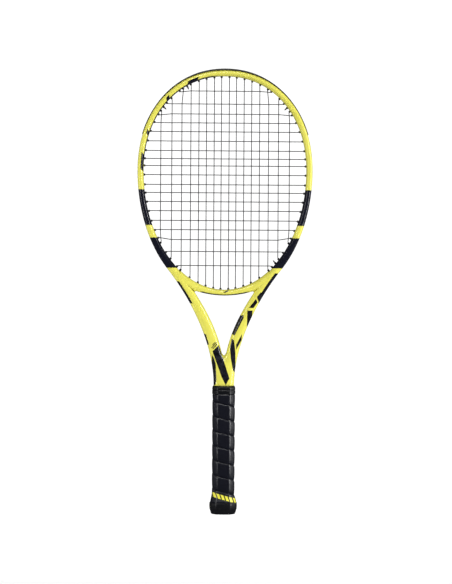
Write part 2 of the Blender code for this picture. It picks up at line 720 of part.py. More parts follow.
def make_cap(finish):
    """The butt cap: a flared cup with a skirt that reaches up under the grip and a hole in its floor."""
    rings = [handle_ring(GRIP_HALF - half, z) for z, half in CAP_PROFILE]
    rings += [handle_ring(PALLET_INSET - out, z) for z, out in zip(FLARE_Z, FLARE_OUT)]
    rings += [handle_ring(PALLET_INSET, SKIRT_TOP_Z)]
    rings += [handle_ring(PALLET_INSET + SKIRT_THICK, z) for z in (SKIRT_TOP_Z, CAP_FLOOR)]
    for z in (CAP_FLOOR, 0.0):
        rings.append(octagon(DOOR_HALF + GAP, DOOR_HALF_DEPTH + GAP, DOOR_BEVEL, z))
    return lofted("butt_cap", rings, finish, closed=True)


def make_door(finish):
    """The door: a plate that sits a little inside the cap's opening, on a plug; it pulls straight out."""
    joint = bpy.data.objects.new("door_joint", None)
    joint.location = (0.0, 0.0, DOOR_RECESS)
    bpy.context.scene.collection.objects.link(joint)
    rings = [octagon(DOOR_HALF - less, DOOR_HALF_DEPTH - less, DOOR_BEVEL, z)
             for z, less in DOOR_PROFILE]
    door = lofted("butt_cap_door", rings, finish)
    door.parent = joint


def make_collar(finish):
    """The rubber collar: a stepped ring over the handle's top end, which slides up the throat."""
    joint = bpy.data.objects.new("collar_joint", None)
    joint.location = (0.0, 0.0, COLLAR_LOW_Z)
    bpy.context.scene.collection.objects.link(joint)
    tall = COLLAR_TOP_Z - COLLAR_LOW_Z
    inside = PALLET_INSET - TAPE_THICK - 2 * GAP
    rings = [handle_ring(inside - COLLAR_THICK + less, z) for z, less in COLLAR_PROFILE]
    rings += [octagon(*COLLAR_NECK, z) for z in (tall, COLLAR_STEP)]
    rings += [handle_ring(inside, z) for z in (COLLAR_STEP, 0.0)]
    collar = lofted("rubber_collar", rings, finish, closed=True)
    collar.parent = joint


def make_finishing_tape(finish):
    low, high = COLLAR_LOW_Z + TAPE_MARGIN, PALLET_TOP_Z - TAPE_MARGIN / 2
    inside = PALLET_INSET - GAP
    rings = [handle_ring(inside - TAPE_THICK, z) for z in (low, high)]
    rings += [handle_ring(inside, z) for z in (high, low)]
    lofted("finishing_tape", rings, finish, closed=True)


def staple_solid(x, side, grow):
    """A staple as one bent bar: its crown lies on the skirt and its two legs go into the pallet."""
    top = GRIP_HALF_DEPTH - PALLET_INSET + grow - STAPLE_SINK
    crown = top - STAPLE_WIRE - 2 * grow
    foot = top - STAPLE_LEG - 2 * grow
    outer, inner = STAPLE_HALF + grow, STAPLE_HALF - STAPLE_WIRE - grow
    low, high = STAPLE_Z - STAPLE_WIRE / 2 - grow, STAPLE_Z + STAPLE_WIRE / 2 + grow
    if grow > 0:
        top += SLOT_PROUD
    outline = [(-outer, foot), (-outer, top), (outer, top), (outer, foot), (inner, foot),
               (inner, crown), (-inner, crown), (-inner, foot)]
    rings = [np.array([(x + px, side * py, z) for px, py in outline]) for z in (low, high)]
    points, faces = loft(rings)
    return points, facing_out(points, faces)


def make_staples(finish, held):
    """Two staples in front and two behind, and the slots that they make in the cap and the pallets."""
    places = [(x, side) for side in (-1, 1) for x in (-STAPLE_X, STAPLE_X)]
    slots = hide_as_helper(joined("staple_slots", [staple_solid(x, s, GAP) for x, s in places]))
    for obj in held:
        boolean(obj, "DIFFERENCE", slots)
    for number, (x, side) in enumerate(places, 1):
        joined(f"butt_cap_staple_{number}", [staple_solid(x, side, 0.0)], finish)


def make_plug(name, side, finish):
    """Foam plug in the lower end of one shaft, a little smaller than the hollow there."""
    width = HANDLE_TUBE_OUTER - SHAFT_INNER
    section = [(u * PLUG_FIT, y * PLUG_FIT) for u, y in hollow_section(width, HANDLE_TUBE_DEPTH, 0.0)]
    centre = side * (HANDLE_TUBE_OUTER + SHAFT_INNER) / 2
    rings = [[(centre + u, y, z) for u, y in section] for z in PLUG_Z]
    lofted(name, rings, finish)


def make_weight(finish):
    half, deep, bevel = POCKET
    rings = [octagon(half - GAP, deep - GAP, bevel, z) for z in WEIGHT_Z]
    lofted("balance_weight", rings, finish)


def main():
    clear_scene()
    paint = material("yellow_paint", (0.80, 0.76, 0.10), 0.25)
    nylon = material("black_nylon", (0.03, 0.03, 0.035), 0.45)
    string = material("black_string", (0.02, 0.02, 0.022), 0.35)
    foam = material("handle_foam", (0.62, 0.60, 0.52), 0.85)
    wrap = material("grip_wrap", (0.02, 0.022, 0.028), 0.60)
    rubber = material("collar_rubber", (0.03, 0.03, 0.035), 0.70)
    steel = material("staple_steel", (0.60, 0.60, 0.62), 0.35, 1.0)
    weight = material("weight_lead", (0.30, 0.31, 0.33), 0.50, 1.0)

    hole_cutters()
    make_frame(paint)
    make_bridge(paint)
    make_strips(nylon)
    mains, crosses = string_plans()
    string_object("main_string", *main_route(mains), string)
    string_object("cross_string", *cross_route(mains, crosses), string)

    front = pallet_half("handle_pallet_front", -1, foam)
    back = pallet_half("handle_pallet_back", 1, foam)
    cap = make_cap(nylon)
    make_staples(steel, (cap, front, back))
    make_grip(wrap)
    make_finishing_tape(nylon)
    make_collar(rubber)
    make_door(nylon)
    make_plug("foam_plug_left", -1, foam)
    make_plug("foam_plug_right", 1, foam)
    make_weight(weight)


main()
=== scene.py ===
# %% [markdown]
# # A tennis racket, drawn over its own working model
#
# The racket stands on its butt, with +Z up to the tip of the head and the front of the strings facing -Y.
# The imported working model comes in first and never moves. Everything here is drawn round it in metres:
# finer surfaces for what the eye sees, and better finishes for the pieces that stay as they are.

import functools
import math

import bpy
import numpy as np
from mathutils import Matrix, Vector


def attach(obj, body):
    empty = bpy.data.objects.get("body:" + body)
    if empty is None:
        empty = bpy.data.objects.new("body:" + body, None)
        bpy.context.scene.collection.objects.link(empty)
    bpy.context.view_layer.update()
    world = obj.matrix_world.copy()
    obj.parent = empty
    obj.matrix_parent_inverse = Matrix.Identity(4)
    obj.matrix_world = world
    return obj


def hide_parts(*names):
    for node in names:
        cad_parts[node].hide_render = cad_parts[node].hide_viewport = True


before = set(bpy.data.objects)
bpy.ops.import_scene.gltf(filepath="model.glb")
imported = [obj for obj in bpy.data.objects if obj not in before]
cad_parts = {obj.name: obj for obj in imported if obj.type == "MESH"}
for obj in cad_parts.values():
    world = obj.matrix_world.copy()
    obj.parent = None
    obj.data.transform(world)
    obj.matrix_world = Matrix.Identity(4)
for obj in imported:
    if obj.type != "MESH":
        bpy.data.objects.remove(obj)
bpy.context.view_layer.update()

# %% [markdown]
# ## Camera, floor and light
#
# The racket is nearly flat, so it is seen square on, from more than four of its own lengths away, through
# a long lens that keeps its near and far sides at one scale. The sky is nearly black. The paper behind glows
# by itself, and tall soft lights at both sides draw one long highlight down each edge of the gloss paint.

# %% Camera
VIEW_LEVEL = 0.3418
VIEW_DISTANCE = 3.00
VIEW_TURN = math.radians(-1.0)
VIEW_ASIDE = 0.0026
VIEW_ROLL = math.radians(0.35)
LENS = 119.9


def make_camera():
    """A level camera on a circle round the racket, rolled a little because the racket leans."""
    data = bpy.data.cameras.new("camera")
    data.lens = LENS
    data.clip_start, data.clip_end = 0.02, 60.0
    camera = bpy.data.objects.new("camera", data)
    bpy.context.scene.collection.objects.link(camera)
    back = Vector((math.sin(VIEW_TURN), -math.cos(VIEW_TURN), 0.0))
    right = Vector((math.cos(VIEW_TURN), math.sin(VIEW_TURN), 0.0))
    facing = (-back).to_track_quat("-Z", "Y").to_matrix() @ Matrix.Rotation(VIEW_ROLL, 3, "Z")
    place = Vector((0, 0, VIEW_LEVEL)) + VIEW_DISTANCE * back + VIEW_ASIDE * right
    camera.matrix_world = Matrix.Translation(place) @ facing.to_4x4()
    bpy.context.scene.camera = camera
    return camera


print("camera at", [round(v, 3) for v in make_camera().location])

# %% Soft studio light
SKY_STRENGTH = 0.05


def area_light(name, place, target, width, height, power):
    """A rectangular soft light at place that faces target."""
    data = bpy.data.lights.new(name, "AREA")
    data.shape = "RECTANGLE"
    data.size, data.size_y = width, height
    data.energy = power
    light = bpy.data.objects.new(name, data)
    light.location = place
    light.rotation_euler = (Vector(target) - Vector(place)).to_track_quat("-Z", "Y").to_euler()
    bpy.context.scene.collection.objects.link(light)
    return light


def make_sky(strength):
    """An even white sky, the same in every direction."""
    world = bpy.data.worlds.new("studio")
    world.use_nodes = True
    sky = world.node_tree.nodes["Background"]
    sky.inputs["Color"].default_value = (1.0, 1.0, 1.0, 1.0)
    sky.inputs["Strength"].default_value = strength
    bpy.context.scene.world = world


make_sky(SKY_STRENGTH)
bpy.context.scene.view_settings.view_transform = "Standard"
area_light("key", (2.0, -0.62, 0.6), (0.0, 0.0, 0.34), 0.28, 1.7, 47)
area_light("fill", (-1.9, -0.9, 0.7), (0.0, 0.0, 0.36), 0.30, 1.5, 18)
area_light("top", (-0.15, -1.7, 1.9), (0.0, 0.0, 0.40), 1.1, 0.5, 25)

# %% [markdown]
# The floor runs far back and turns up into a wall in one smooth curve, as a paper backdrop does. It isn't
# part of the racket. Gloss doesn't mirror it, as if black flags stood just out of view: without that, the
# rounded edges of the paint would fade into the white paper. A white dome that only the eye sees closes the
# studio all round, so that the racket can be looked at from behind as well.

# %% Paper backdrop
FLOOR_FRONT_Y, BEND_START_Y, BEND_RADIUS, WALL_TOP_Z, PAPER_HALF_WIDTH = -0.9, 2.6, 1.2, 5.0, 5.0
GLOW_FULL_Y, GLOW_FRONT, GLOW_BACK = -0.5, 0.45, 0.92  # the paper glows less at its front edge
DOME_RADIUS, SURROUND_SINK = 7.0, 0.002


def new_mesh(name, points, faces):
    """A mesh object from arrays of points and faces."""
    mesh = bpy.data.meshes.new(name)
    mesh.from_pydata(np.asarray(points, float).reshape(-1, 3), [], faces)
    mesh.validate()
    mesh.shade_smooth()
    made = bpy.data.objects.new(name, mesh)
    bpy.context.scene.collection.objects.link(made)
    return made


def grid_faces(rows, columns, round_rows=False, round_columns=False):
    """Quads of a grid of points stored row by row; either direction may close on itself."""
    r = np.arange(rows if round_rows else rows - 1)[:, None]
    c = np.arange(columns if round_columns else columns - 1)[None, :]
    below, beside = (r + 1) % rows, (c + 1) % columns
    corners = [r * columns + c, r * columns + beside, below * columns + beside, below * columns + c]
    return np.stack([np.broadcast_to(k, (r.size, c.size)) for k in corners], -1).reshape(-1, 4)


def glowing(name, grey, **values):
    """A material of this grey that gives off white light, and its shader."""
    made = bpy.data.materials.new(name)
    made.use_nodes = True
    shader = made.node_tree.nodes["Principled BSDF"]
    shader.inputs["Base Color"].default_value = (grey, grey, grey, 1.0)
    shader.inputs["Emission Color"].default_value = (1.0, 1.0, 1.0, 1.0)
    for socket, value in values.items():
        shader.inputs[socket.replace("_", " ")].default_value = value
    return made, shader


def make_backdrop():
    """Floor, quarter-round and wall: a profile in (y, z), carried straight along x."""
    turn = np.linspace(0, math.pi / 2, 24)
    y = np.concatenate([[FLOOR_FRONT_Y], BEND_START_Y + BEND_RADIUS * np.sin(turn),
                        [BEND_START_Y + BEND_RADIUS]])
    z = np.concatenate([[0.0], BEND_RADIUS - BEND_RADIUS * np.cos(turn), [WALL_TOP_Z]])
    x = np.array([-PAPER_HALF_WIDTH, PAPER_HALF_WIDTH])
    grid = np.stack([np.repeat(x[None], len(y), 0), np.repeat(y[:, None], 2, 1),
                     np.repeat(z[:, None], 2, 1)], -1)
    backdrop = new_mesh("backdrop", grid, grid_faces(len(y), 2))
    paper, shader = glowing("backdrop_paper", 0.32, Roughness=0.9)
    nodes, links = paper.node_tree.nodes, paper.node_tree.links
    place, parts, fade = (nodes.new("ShaderNode" + k) for k in ("TexCoord", "SeparateXYZ", "MapRange"))
    for slot, value in (("From Min", FLOOR_FRONT_Y), ("From Max", GLOW_FULL_Y),
                        ("To Min", GLOW_FRONT), ("To Max", GLOW_BACK)):
        fade.inputs[slot].default_value = value
    links.new(place.outputs["Object"], parts.inputs[0])
    links.new(parts.outputs["Y"], fade.inputs["Value"])
    links.new(fade.outputs["Result"], shader.inputs["Emission Strength"])
    backdrop.data.materials.append(paper)
    backdrop.visible_glossy = False
    return backdrop


def make_surround():
    """A dome and the rest of the floor, white for the eye only: it lights nothing."""
    rise = np.linspace(0, math.pi / 2, 12)[::-1, None]
    spin = np.linspace(0, 2 * math.pi, 33)[None, :-1]
    flat = np.ones_like(spin)
    dome = DOME_RADIUS * np.stack([np.cos(rise) * np.cos(spin), np.cos(rise) * np.sin(spin),
                                   np.sin(rise) * flat], -1)
    floor = dome[-1:] * 0.02
    grid = np.concatenate([dome, floor]) - (0, 0, SURROUND_SINK)
    surround = new_mesh("surround", grid, grid_faces(13, 32, round_columns=True))
    surround.data.materials.append(glowing("surround_white", 0.0, Emission_Strength=1.0)[0])
    surround.visible_glossy = surround.visible_diffuse = surround.visible_shadow = False
    return surround


BACKDROP, SURROUND = make_backdrop(), make_surround()
print("backdrop and surround:", len(BACKDROP.data.polygons) + len(SURROUND.data.polygons), "faces")

# %% [markdown]
# ## Measures of the racket
#
# The same lengths drive the working model, so each finer surface lies where the model has its own. The hoop
# is an egg: a superellipse above its widest line and an ellipse below. Each edge of an arm leaves that
# ellipse and comes down to the shaft on one cubic.

# %% Measures, in metres
WIDEST_Z = 0.5284
INNER_HALF, INNER_RISE, INNER_DROP = 0.1255, 0.1461, 0.1830
OUTER_HALF, OUTER_RISE, OUTER_DROP = 0.1350, 0.1548, 0.2000
SQUARENESS = 2.12
SHOULDER_ANGLE = math.radians(-50)
OUTER_EASE_TOP, OUTER_EASE_END, OUTER_END_Z, SHAFT_OUTER = 0.0229, 0.0809, 0.1983, 0.0158
INNER_EASE_TOP, INNER_EASE_END, INNER_END_Z, SHAFT_INNER = 0.1271, 0.0347, 0.2057, 0.0003
TUBE_HALF, NECK_LOW_Z, TUBE_END_Z = 0.0110, 0.1895, 0.0240
TIP_DEPTH, SHOULDER_DEPTH, THROAT_DEPTH, HANDLE_DEPTH = 0.0230, 0.0260, 0.0230, 0.0160
CROTCH_Z = 0.2449
CHANNEL_DEPTH, CHANNEL_HALF, CHANNEL_LAST_Z = 0.0033, 0.0040, 0.3250
GAP = 0.0003


def egg(angle, half, rise, drop):
    """Points (x, z) of the hoop: x follows cos and z follows sin, each to the power 2/2.12 above the widest
    line and to the power 1 below it."""
    cos, sin = np.cos(angle), np.sin(angle)
    power = np.where(sin > 0, 2 / SQUARENESS, 1.0)
    x = half * np.sign(cos) * np.abs(cos) ** power
    z = WIDEST_Z + np.where(sin > 0, rise, drop) * np.sign(sin) * np.abs(sin) ** power
    return np.stack([x, z], -1)


def arm_edge(half, drop, ease_top, ease_end, end_x, end_z, share):
    """Points (x, z) of one edge of the right arm: a cubic that starts along the ellipse and ends upright."""
    start = egg(SHOULDER_ANGLE, half, 0, drop)
    lean = np.array([half * math.sin(SHOULDER_ANGLE), -drop * math.cos(SHOULDER_ANGLE)])
    lean /= np.linalg.norm(lean)
    end = np.array([end_x, end_z])
    a, b = start + ease_top * lean, end + (0, ease_end)
    t = share[:, None]
    return (1 - t) ** 3 * start + 3 * (1 - t) ** 2 * t * a + 3 * (1 - t) * t * t * b + t ** 3 * end


print("strung opening, mm:", 2000 * INNER_HALF, "x", 1000 * (INNER_RISE + INNER_DROP))

# %% [markdown]
# ## Finishes
#
# Every finish is worked out from a place: the point's own (x, y, z), or a value that the mesh carries. A
# pattern is a sum of masks, so the shader arithmetic is written as ordinary Python. One small class wraps a
# socket; each sum or product of two of them adds a Math node.

# %% Arithmetic on sockets


class Field:
    """A number that varies over a surface: the output of a node."""

    def __init__(self, tree, socket):
        self.tree, self.socket = tree, socket

    def math(self, operation, *others, clamp=False, second=False):
        """A math node on this field and others; second swaps the first two inputs, as in 1 - mask."""
        node = self.tree.nodes.new("ShaderNodeMath")
        node.operation, node.use_clamp = operation, clamp
        for slot, value in zip(node.inputs, (*others, self) if second else (self, *others)):
            plug(self.tree, slot, value)
        return Field(self.tree, node.outputs[0])

    def __add__(self, other): return self.math("ADD", other)
    def __radd__(self, other): return self.math("ADD", other)
    def __sub__(self, other): return self.math("SUBTRACT", other)
    def __rsub__(self, other): return self.math("SUBTRACT", other, second=True)
    def __mul__(self, other): return self.math("MULTIPLY", other)
    def __rmul__(self, other): return self.math("MULTIPLY", other)
    def __truediv__(self, other): return self.math("DIVIDE", other)
    def __rtruediv__(self, other): return self.math("DIVIDE", other, second=True)
    def __pow__(self, other): return self.math("POWER", other)
    def __abs__(self): return self.math("ABSOLUTE")
    def __and__(self, other): return self.math("MINIMUM", other)
    def __or__(self, other): return self.math("MAXIMUM", other)

    def wave(self):
        return self.math("SINE")

    def part(self):
        """What is left of the number over a whole one."""
        return self.math("FRACT")

    def above(self, edge, soft):
        """0 below the edge and 1 above it, with a ramp of half-width soft."""
        return ((self - (edge - soft)) / (2 * soft)).math("ADD", 0.0, clamp=True)

    def below(self, edge, soft):
        return 1 - self.above(edge, soft)

    def between(self, low, high, soft):
        return self.above(low, soft) & self.below(high, soft)


def plug(tree, slot, value):
    """Links a field or socket into a slot, or sets the slot's own value."""
    if isinstance(value, Field):
        tree.links.new(value.socket, slot)
    elif isinstance(value, bpy.types.NodeSocket):
        tree.links.new(value, slot)
    elif isinstance(value, tuple) and len(value) == 3 and slot.type == "RGBA":
        slot.default_value = (*value, 1.0)
    else:
        slot.default_value = value


class Finish:
    """A material's nodes: a Principled shader, the place fields x, y and z, and one way to add any node."""

    def __init__(self, name, **shader):
        self.material = bpy.data.materials.new(name)
        self.material.use_nodes = True
        self.tree = self.material.node_tree
        self.shader = self.tree.nodes["Principled BSDF"]
        for socket, value in shader.items():
            plug(self.tree, self.shader.inputs[socket.replace("_", " ")], value)
        self.place = self.tree.nodes.new("ShaderNodeTexCoord").outputs["Object"]
        parts = self.tree.nodes.new("ShaderNodeSeparateXYZ")
        self.tree.links.new(self.place, parts.inputs[0])
        self.x, self.y, self.z = (Field(self.tree, out) for out in parts.outputs)

    def node(self, kind, settings=None, out=0, **slots):
        """A node of this type, with its settings made first and then its slots' values or links."""
        made = self.tree.nodes.new("ShaderNode" + kind)
        for name, value in (settings or {}).items():
            setattr(made, name, value)
        for name, value in slots.items():
            plug(self.tree, made.inputs[int(name[1:]) if name[1:].isdigit() else name], value)
        return Field(self.tree, made.outputs[out])

    def noise(self, scale, detail=3.0, rough=0.5, place=None):
        return self.node("TexNoise", None, "Fac", Vector=place or self.place, Scale=scale,
                         Detail=detail, Roughness=rough)

    def carried(self, name):
        """A value that the mesh carries at each point."""
        return self.node("Attribute", {"attribute_name": name}, "Fac")

    def blend(self, mask, first, second):
        """A colour between first, where the mask is 0, and second, where it is 1."""
        mixed = self.tree.nodes.new("ShaderNodeMix")
        mixed.data_type = "RGBA"
        plug(self.tree, mixed.inputs[0], mask)
        plug(self.tree, mixed.inputs[6], first)
        plug(self.tree, mixed.inputs[7], second)
        return mixed.outputs[2]

    def bump(self, height, distance, strength=1.0, normal=None):
        """Bends the light over a height in metres times distance."""
        slots = {"Height": height, "Distance": distance, "Strength": strength}
        if normal:
            slots["Normal"] = normal
        return self.node("Bump", None, "Normal", **slots)

    def set(self, socket, value):
        plug(self.tree, self.shader.inputs[socket], value)

    def on(self, made):
        """Gives the finish to an object, in place of what it had."""
        made.data.materials.clear()
        made.data.materials.append(self.material)
        return made


print("finishes read the object's own places, in metres")

# %% [markdown]
# ## Frame skin
#
# The frame is one carbon tube, bent like a hairpin: hoop, two arms and two shafts that grow into one neck.
# It could be a bevelled curve, but a bevel keeps one section, and this tube changes its width and depth all
# the way and has a string channel in its outer side. So the right half is a grid: a rounded section carried
# from the tip down to the handle. The left half is its mirror image, welded to it in the middle.

# %% Edges of the right half
ROUNDNESS = 2.65


def right_rail(hoop_steps=190, arm_steps=130):
    """Inner and outer points (x, z) of the right half, with the nearest inner point for each outer one."""
    def hoop(count, *size):
        return egg(np.linspace(math.pi / 2, SHOULDER_ANGLE, count + 1), *size)

    neck = np.concatenate([np.linspace(OUTER_END_Z, NECK_LOW_Z, 9)[1:],
                           np.linspace(NECK_LOW_Z, TUBE_END_Z, 9)[1:]])
    neck_x = np.interp(neck, (NECK_LOW_Z, OUTER_END_Z), (TUBE_HALF, SHAFT_OUTER))
    outer = np.concatenate([
        hoop(hoop_steps, OUTER_HALF, OUTER_RISE, OUTER_DROP),
        arm_edge(OUTER_HALF, OUTER_DROP, OUTER_EASE_TOP, OUTER_EASE_END, SHAFT_OUTER, OUTER_END_Z,
                 np.linspace(0, 1, arm_steps + 1)[1:]), np.stack([neck_x, neck], -1)])
    shaft = np.linspace(INNER_END_Z, TUBE_END_Z, 4001)[1:]
    inner = np.concatenate([
        hoop(8000, INNER_HALF, INNER_RISE, INNER_DROP),
        arm_edge(INNER_HALF, INNER_DROP, INNER_EASE_TOP, INNER_EASE_END, SHAFT_INNER, INNER_END_Z,
                 np.linspace(0, 1, 5001)[1:]), np.stack([np.full(4000, SHAFT_INNER), shaft], -1)])
    nearest = np.argmin(np.linalg.norm(outer[:, None] - inner[None], axis=-1), axis=1)
    nearest[0] = 0
    return inner[nearest], outer


INNER, OUTER = right_rail()
print("stations:", len(OUTER), " hoop width at its sides, mm:",
      round(1000 * (OUTER_HALF - INNER_HALF), 1))

# %% Sections of the tube


def tube_depth(z):
    """Front to back size of the tube at height z."""
    return np.interp(z, (TUBE_END_Z, NECK_LOW_Z, OUTER_END_Z, 0.30, 0.40, WIDEST_Z, WIDEST_Z + OUTER_RISE),
                     (HANDLE_DEPTH, HANDLE_DEPTH, THROAT_DEPTH, 0.0245, SHOULDER_DEPTH, SHOULDER_DEPTH,
                      TIP_DEPTH))


def smooth(low, high, value):
    """0 below low and 1 above high, with the cubic 3t^2 - 2t^3 between them."""
    t = np.clip((value - low) / (high - low), 0, 1)
    return t * t * (3 - 2 * t)


def round_bar(share):
    """Height of a rounded bar's face, as a share of its half depth, at this share of its half width."""
    return (1 - np.clip(np.abs(share), 0, 1) ** ROUNDNESS) ** (1 / ROUNDNESS)


def section_turn(half_depth, steps):
    """Angles round the section from one lip of the channel, over the front, to just short of the inner
    middle."""
    lip = np.arcsin((CHANNEL_HALF / half_depth) ** (ROUNDNESS / 2))
    share = (np.linspace(0, 1, steps) * (1 - 0.5 / steps))[None]
    return lip[:, None] + (math.pi - lip[:, None]) * share


def rounded_sections(width, depth, channel, steps=26):
    """A grid of sections (out, y): out follows cos and y follows sin, each to the power 2/2.65; the outer
    side sinks by the channel's depth between the lips."""
    half, deep = width[:, None] / 2, depth[:, None] / 2
    turn = section_turn(depth / 2, steps)
    out = half * np.sign(np.cos(turn)) * np.abs(np.cos(turn)) ** (2 / ROUNDNESS)
    y = -deep * np.abs(np.sin(turn)) ** (2 / ROUNDNESS)
    floor_y = CHANNEL_HALF * np.array([0.995, 0.5, 0.0, -0.5, -0.995])[None] * np.ones_like(half)
    floor = half * round_bar(floor_y / deep) - channel[:, None]
    return (np.concatenate([out, out[:, ::-1], floor], 1),
            np.concatenate([y, -y[:, ::-1], floor_y], 1))


def carried(out, y, inner, outer):
    """Sections (out, y) placed between each station's inner and outer point: a grid of (x, y, z)."""
    across = outer - inner
    across /= np.linalg.norm(across, axis=1, keepdims=True)
    middle = (inner + outer) / 2
    return np.stack([middle[:, :1] + out * across[:, :1], y, middle[:, 1:] + out * across[:, 1:]], -1)


print("tube depth at tip, shoulder, throat, mm:", 1000 * tube_depth(np.array([0.68, 0.45, 0.25])))

# %% [markdown]
# Where the arms meet, the two tubes run into each other. The section's inner half is stretched to the middle
# plane, so the crotch is a narrow round-ended slot. Below it a web rises between the arms, and over 20 mm
# the two rounded fronts give way to one broad front.

# %% Crotch and neck
WEB_REACH = 0.0165


def edge_x(points, z):
    """The edge's x at height z, below the hoop's widest line."""
    low = points[points[:, 1] < 0.36][::-1]
    return np.interp(z, low[:, 1], low[:, 0])


def close_crotch(grid):
    """Stretches the arm's inner half to the middle plane, then lifts it to the web and to the broad neck."""
    x, y, z = (grid[..., k] for k in range(3))
    low = z < 0.33
    inner, outer = edge_x(INNER, z), edge_x(OUTER, z)
    open_share = np.clip((z - CROTCH_Z) / 0.0042, 0, 1)
    wanted = inner * np.sqrt(1 - (1 - open_share) ** 2)
    middle = (inner + outer) / 2
    near = np.clip((middle - x) / np.maximum(middle - inner, 1e-6), 0, 1)
    x = np.where(low, np.maximum(x - (inner - wanted) * near, 0), x)
    x = np.where(low & (z < CROTCH_Z) & (near > 0.999), 0, x)

    half_depth = tube_depth(z) / 2
    broad = half_depth * round_bar(x / np.maximum(outer, 1e-6))
    below = np.clip((CROTCH_Z - z) / 0.0045, 0, 1)
    climb = smooth(0, 1, (CROTCH_Z - z) / WEB_REACH)
    web = broad * (0.60 * np.sqrt(1 - (1 - below) ** 2) + 0.40 * climb)
    tall = np.abs(y)
    soft = 0.25 * web + 1e-9
    lifted = np.maximum(tall, web) + np.maximum(soft - np.abs(tall - web), 0) ** 2 / (4 * soft)
    lifted = np.where(web > 0, np.minimum(lifted, half_depth), tall)
    merge = smooth(0, 1, (CROTCH_Z - z) / 0.0230)
    y = np.where(low, np.sign(y) * ((1 - merge) * lifted + merge * broad), y)
    return np.stack([x, y, z], -1)


# %% Weld the two halves into the frame skin
import bmesh


def tidied(made, sharp=35.0, fill=True):
    """Welds doubled points, closes open ends, turns every face outwards and keeps hard edges hard."""
    work = bmesh.new()
    work.from_mesh(made.data)
    bmesh.ops.remove_doubles(work, verts=work.verts, dist=2e-6)
    bmesh.ops.dissolve_degenerate(work, edges=work.edges, dist=1e-6)
    if fill:
        bmesh.ops.holes_fill(work, edges=[e for e in work.edges if e.is_boundary])
    bmesh.ops.recalc_face_normals(work, faces=work.faces)
    work.to_mesh(made.data)
    work.free()
    made.data.shade_smooth()
    made.data.set_sharp_from_angle(angle=math.radians(sharp))
    return made


def carry(made, name, values):
    """Stores a value at each point of a mesh, for its finish to read."""
    layer = made.data.attributes.new(name, "FLOAT", "POINT")
    layer.data.foreach_set("value", np.asarray(values, np.float32).ravel())
    return made


def mirrored(name, grid, round_columns=True):
    """A grid and its mirror image in x as one mesh, without the faces that lie in the middle plane."""
    rows, columns = grid.shape[:2]
    points = grid.reshape(-1, 3)
    faces = grid_faces(rows, columns, round_columns=round_columns)
    inside = (np.abs(points[:, 0]) < 1e-7)[faces].all(axis=1)
    faces = faces[~inside]
    points = np.concatenate([points, points * (-1, 1, 1)])
    faces = np.concatenate([faces, faces[:, ::-1] + rows * columns])
    return new_mesh(name, points, faces.tolist())


def frame_grid():
    """The right half of the frame as a grid of points."""
    width = np.linalg.norm(OUTER - INNER, axis=1)
    channel = CHANNEL_DEPTH * smooth(CHANNEL_LAST_Z - 0.004, CHANNEL_LAST_Z + 0.002, OUTER[:, 1])
    out, y = rounded_sections(width, tube_depth(OUTER[:, 1]), channel)
    grid = carried(out, y, INNER, OUTER)
    grid[0, :, 0] = 0
    return close_crotch(grid), out / (width[:, None] / 2)


def travelled(points):
    """Length along a line of points, from its first one."""
    return np.concatenate([[0], np.cumsum(np.linalg.norm(np.diff(points, axis=0), axis=1))])


def make_frame_skin():
    """Both halves, carrying across (-1 at the inner side, 1 at the outer) and along (metres from the tip)."""
    grid, across = frame_grid()
    made = mirrored("frame_skin", grid)
    along = np.broadcast_to(travelled(OUTER)[:, None], across.shape)
    carry(made, "across", np.stack([across, across]))
    carry(made, "along", np.stack([along, along]))
    return tidied(made)


FRAME_SKIN = make_frame_skin()
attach(FRAME_SKIN, "racket")
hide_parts("frame_hairpin")
print("frame skin:", len(FRAME_SKIN.data.polygons), "faces")

# %% [markdown]
# ## Throat bridge
#
# The bridge closes the hoop under the strings. Its upper side goes on with the hoop's egg, its underside is
# an arch of its own, and both ends sink into the arms. It is a little shallower than the arms, so a shaded
# step shows where they meet. The corners of the throat opening are filleted by turning the underside down
# as it comes near an arm.

# %% Bridge between the arms
BRIDGE_UNDER_Z, BRIDGE_UNDER_RISE, BRIDGE_CORNER_X = 0.3362, 0.0078, 0.0477
BRIDGE_DEPTH = 0.0216
BRIDGE_END = math.radians(32.5)
BRIDGE_MARK = 9.0              # carried as "along" all over the bridge, far past any place on the arms


def arch(x):
    """Height of the bridge's underside: a parabola in x."""
    return BRIDGE_UNDER_Z + BRIDGE_UNDER_RISE * (x / BRIDGE_CORNER_X) ** 2


def arm_height(x):
    """Height of the right arm's inner edge above a given x."""
    low = INNER[(INNER[:, 1] < 0.40) & (INNER[:, 0] > 0.001)][::-1]
    return np.interp(x, low[:, 0], low[:, 1])


def bridge_rails(steps=150):
    """Top and underside points of the bridge from left to right."""
    spread = np.sin(np.linspace(-math.pi / 2, math.pi / 2, steps + 1)) * BRIDGE_END
    top = egg(spread - math.pi / 2, INNER_HALF, INNER_RISE, INNER_DROP)
    x = top[:, 0] * 1.06
    gap = arch(x) - arm_height(np.abs(x))
    turned = smooth(0.0040, 0.0008, gap)
    under = arch(x) - turned * np.maximum(gap + 0.0012, 0)
    return top, np.stack([x, under], -1)


def make_bridge_skin():
    """Rounded sections from arm to arm, with the strip's channel in the underside."""
    top, under = bridge_rails()
    width = np.linalg.norm(top - under, axis=1)
    middle = smooth(0.0420, 0.0390, np.abs(top[:, 0]))
    depth = BRIDGE_DEPTH + 0.0030 * (1 - smooth(0.058, 0.040, np.abs(top[:, 0])))
    out, y = rounded_sections(width, depth, CHANNEL_DEPTH * middle)
    grid = carried(out, y, top, under)
    rows, columns = grid.shape[:2]
    made = new_mesh("bridge_skin", grid, grid_faces(rows, columns, round_columns=True).tolist())
    carry(made, "across", -out / (width[:, None] / 2))
    carry(made, "along", np.full(out.shape, BRIDGE_MARK))
    return tidied(made)


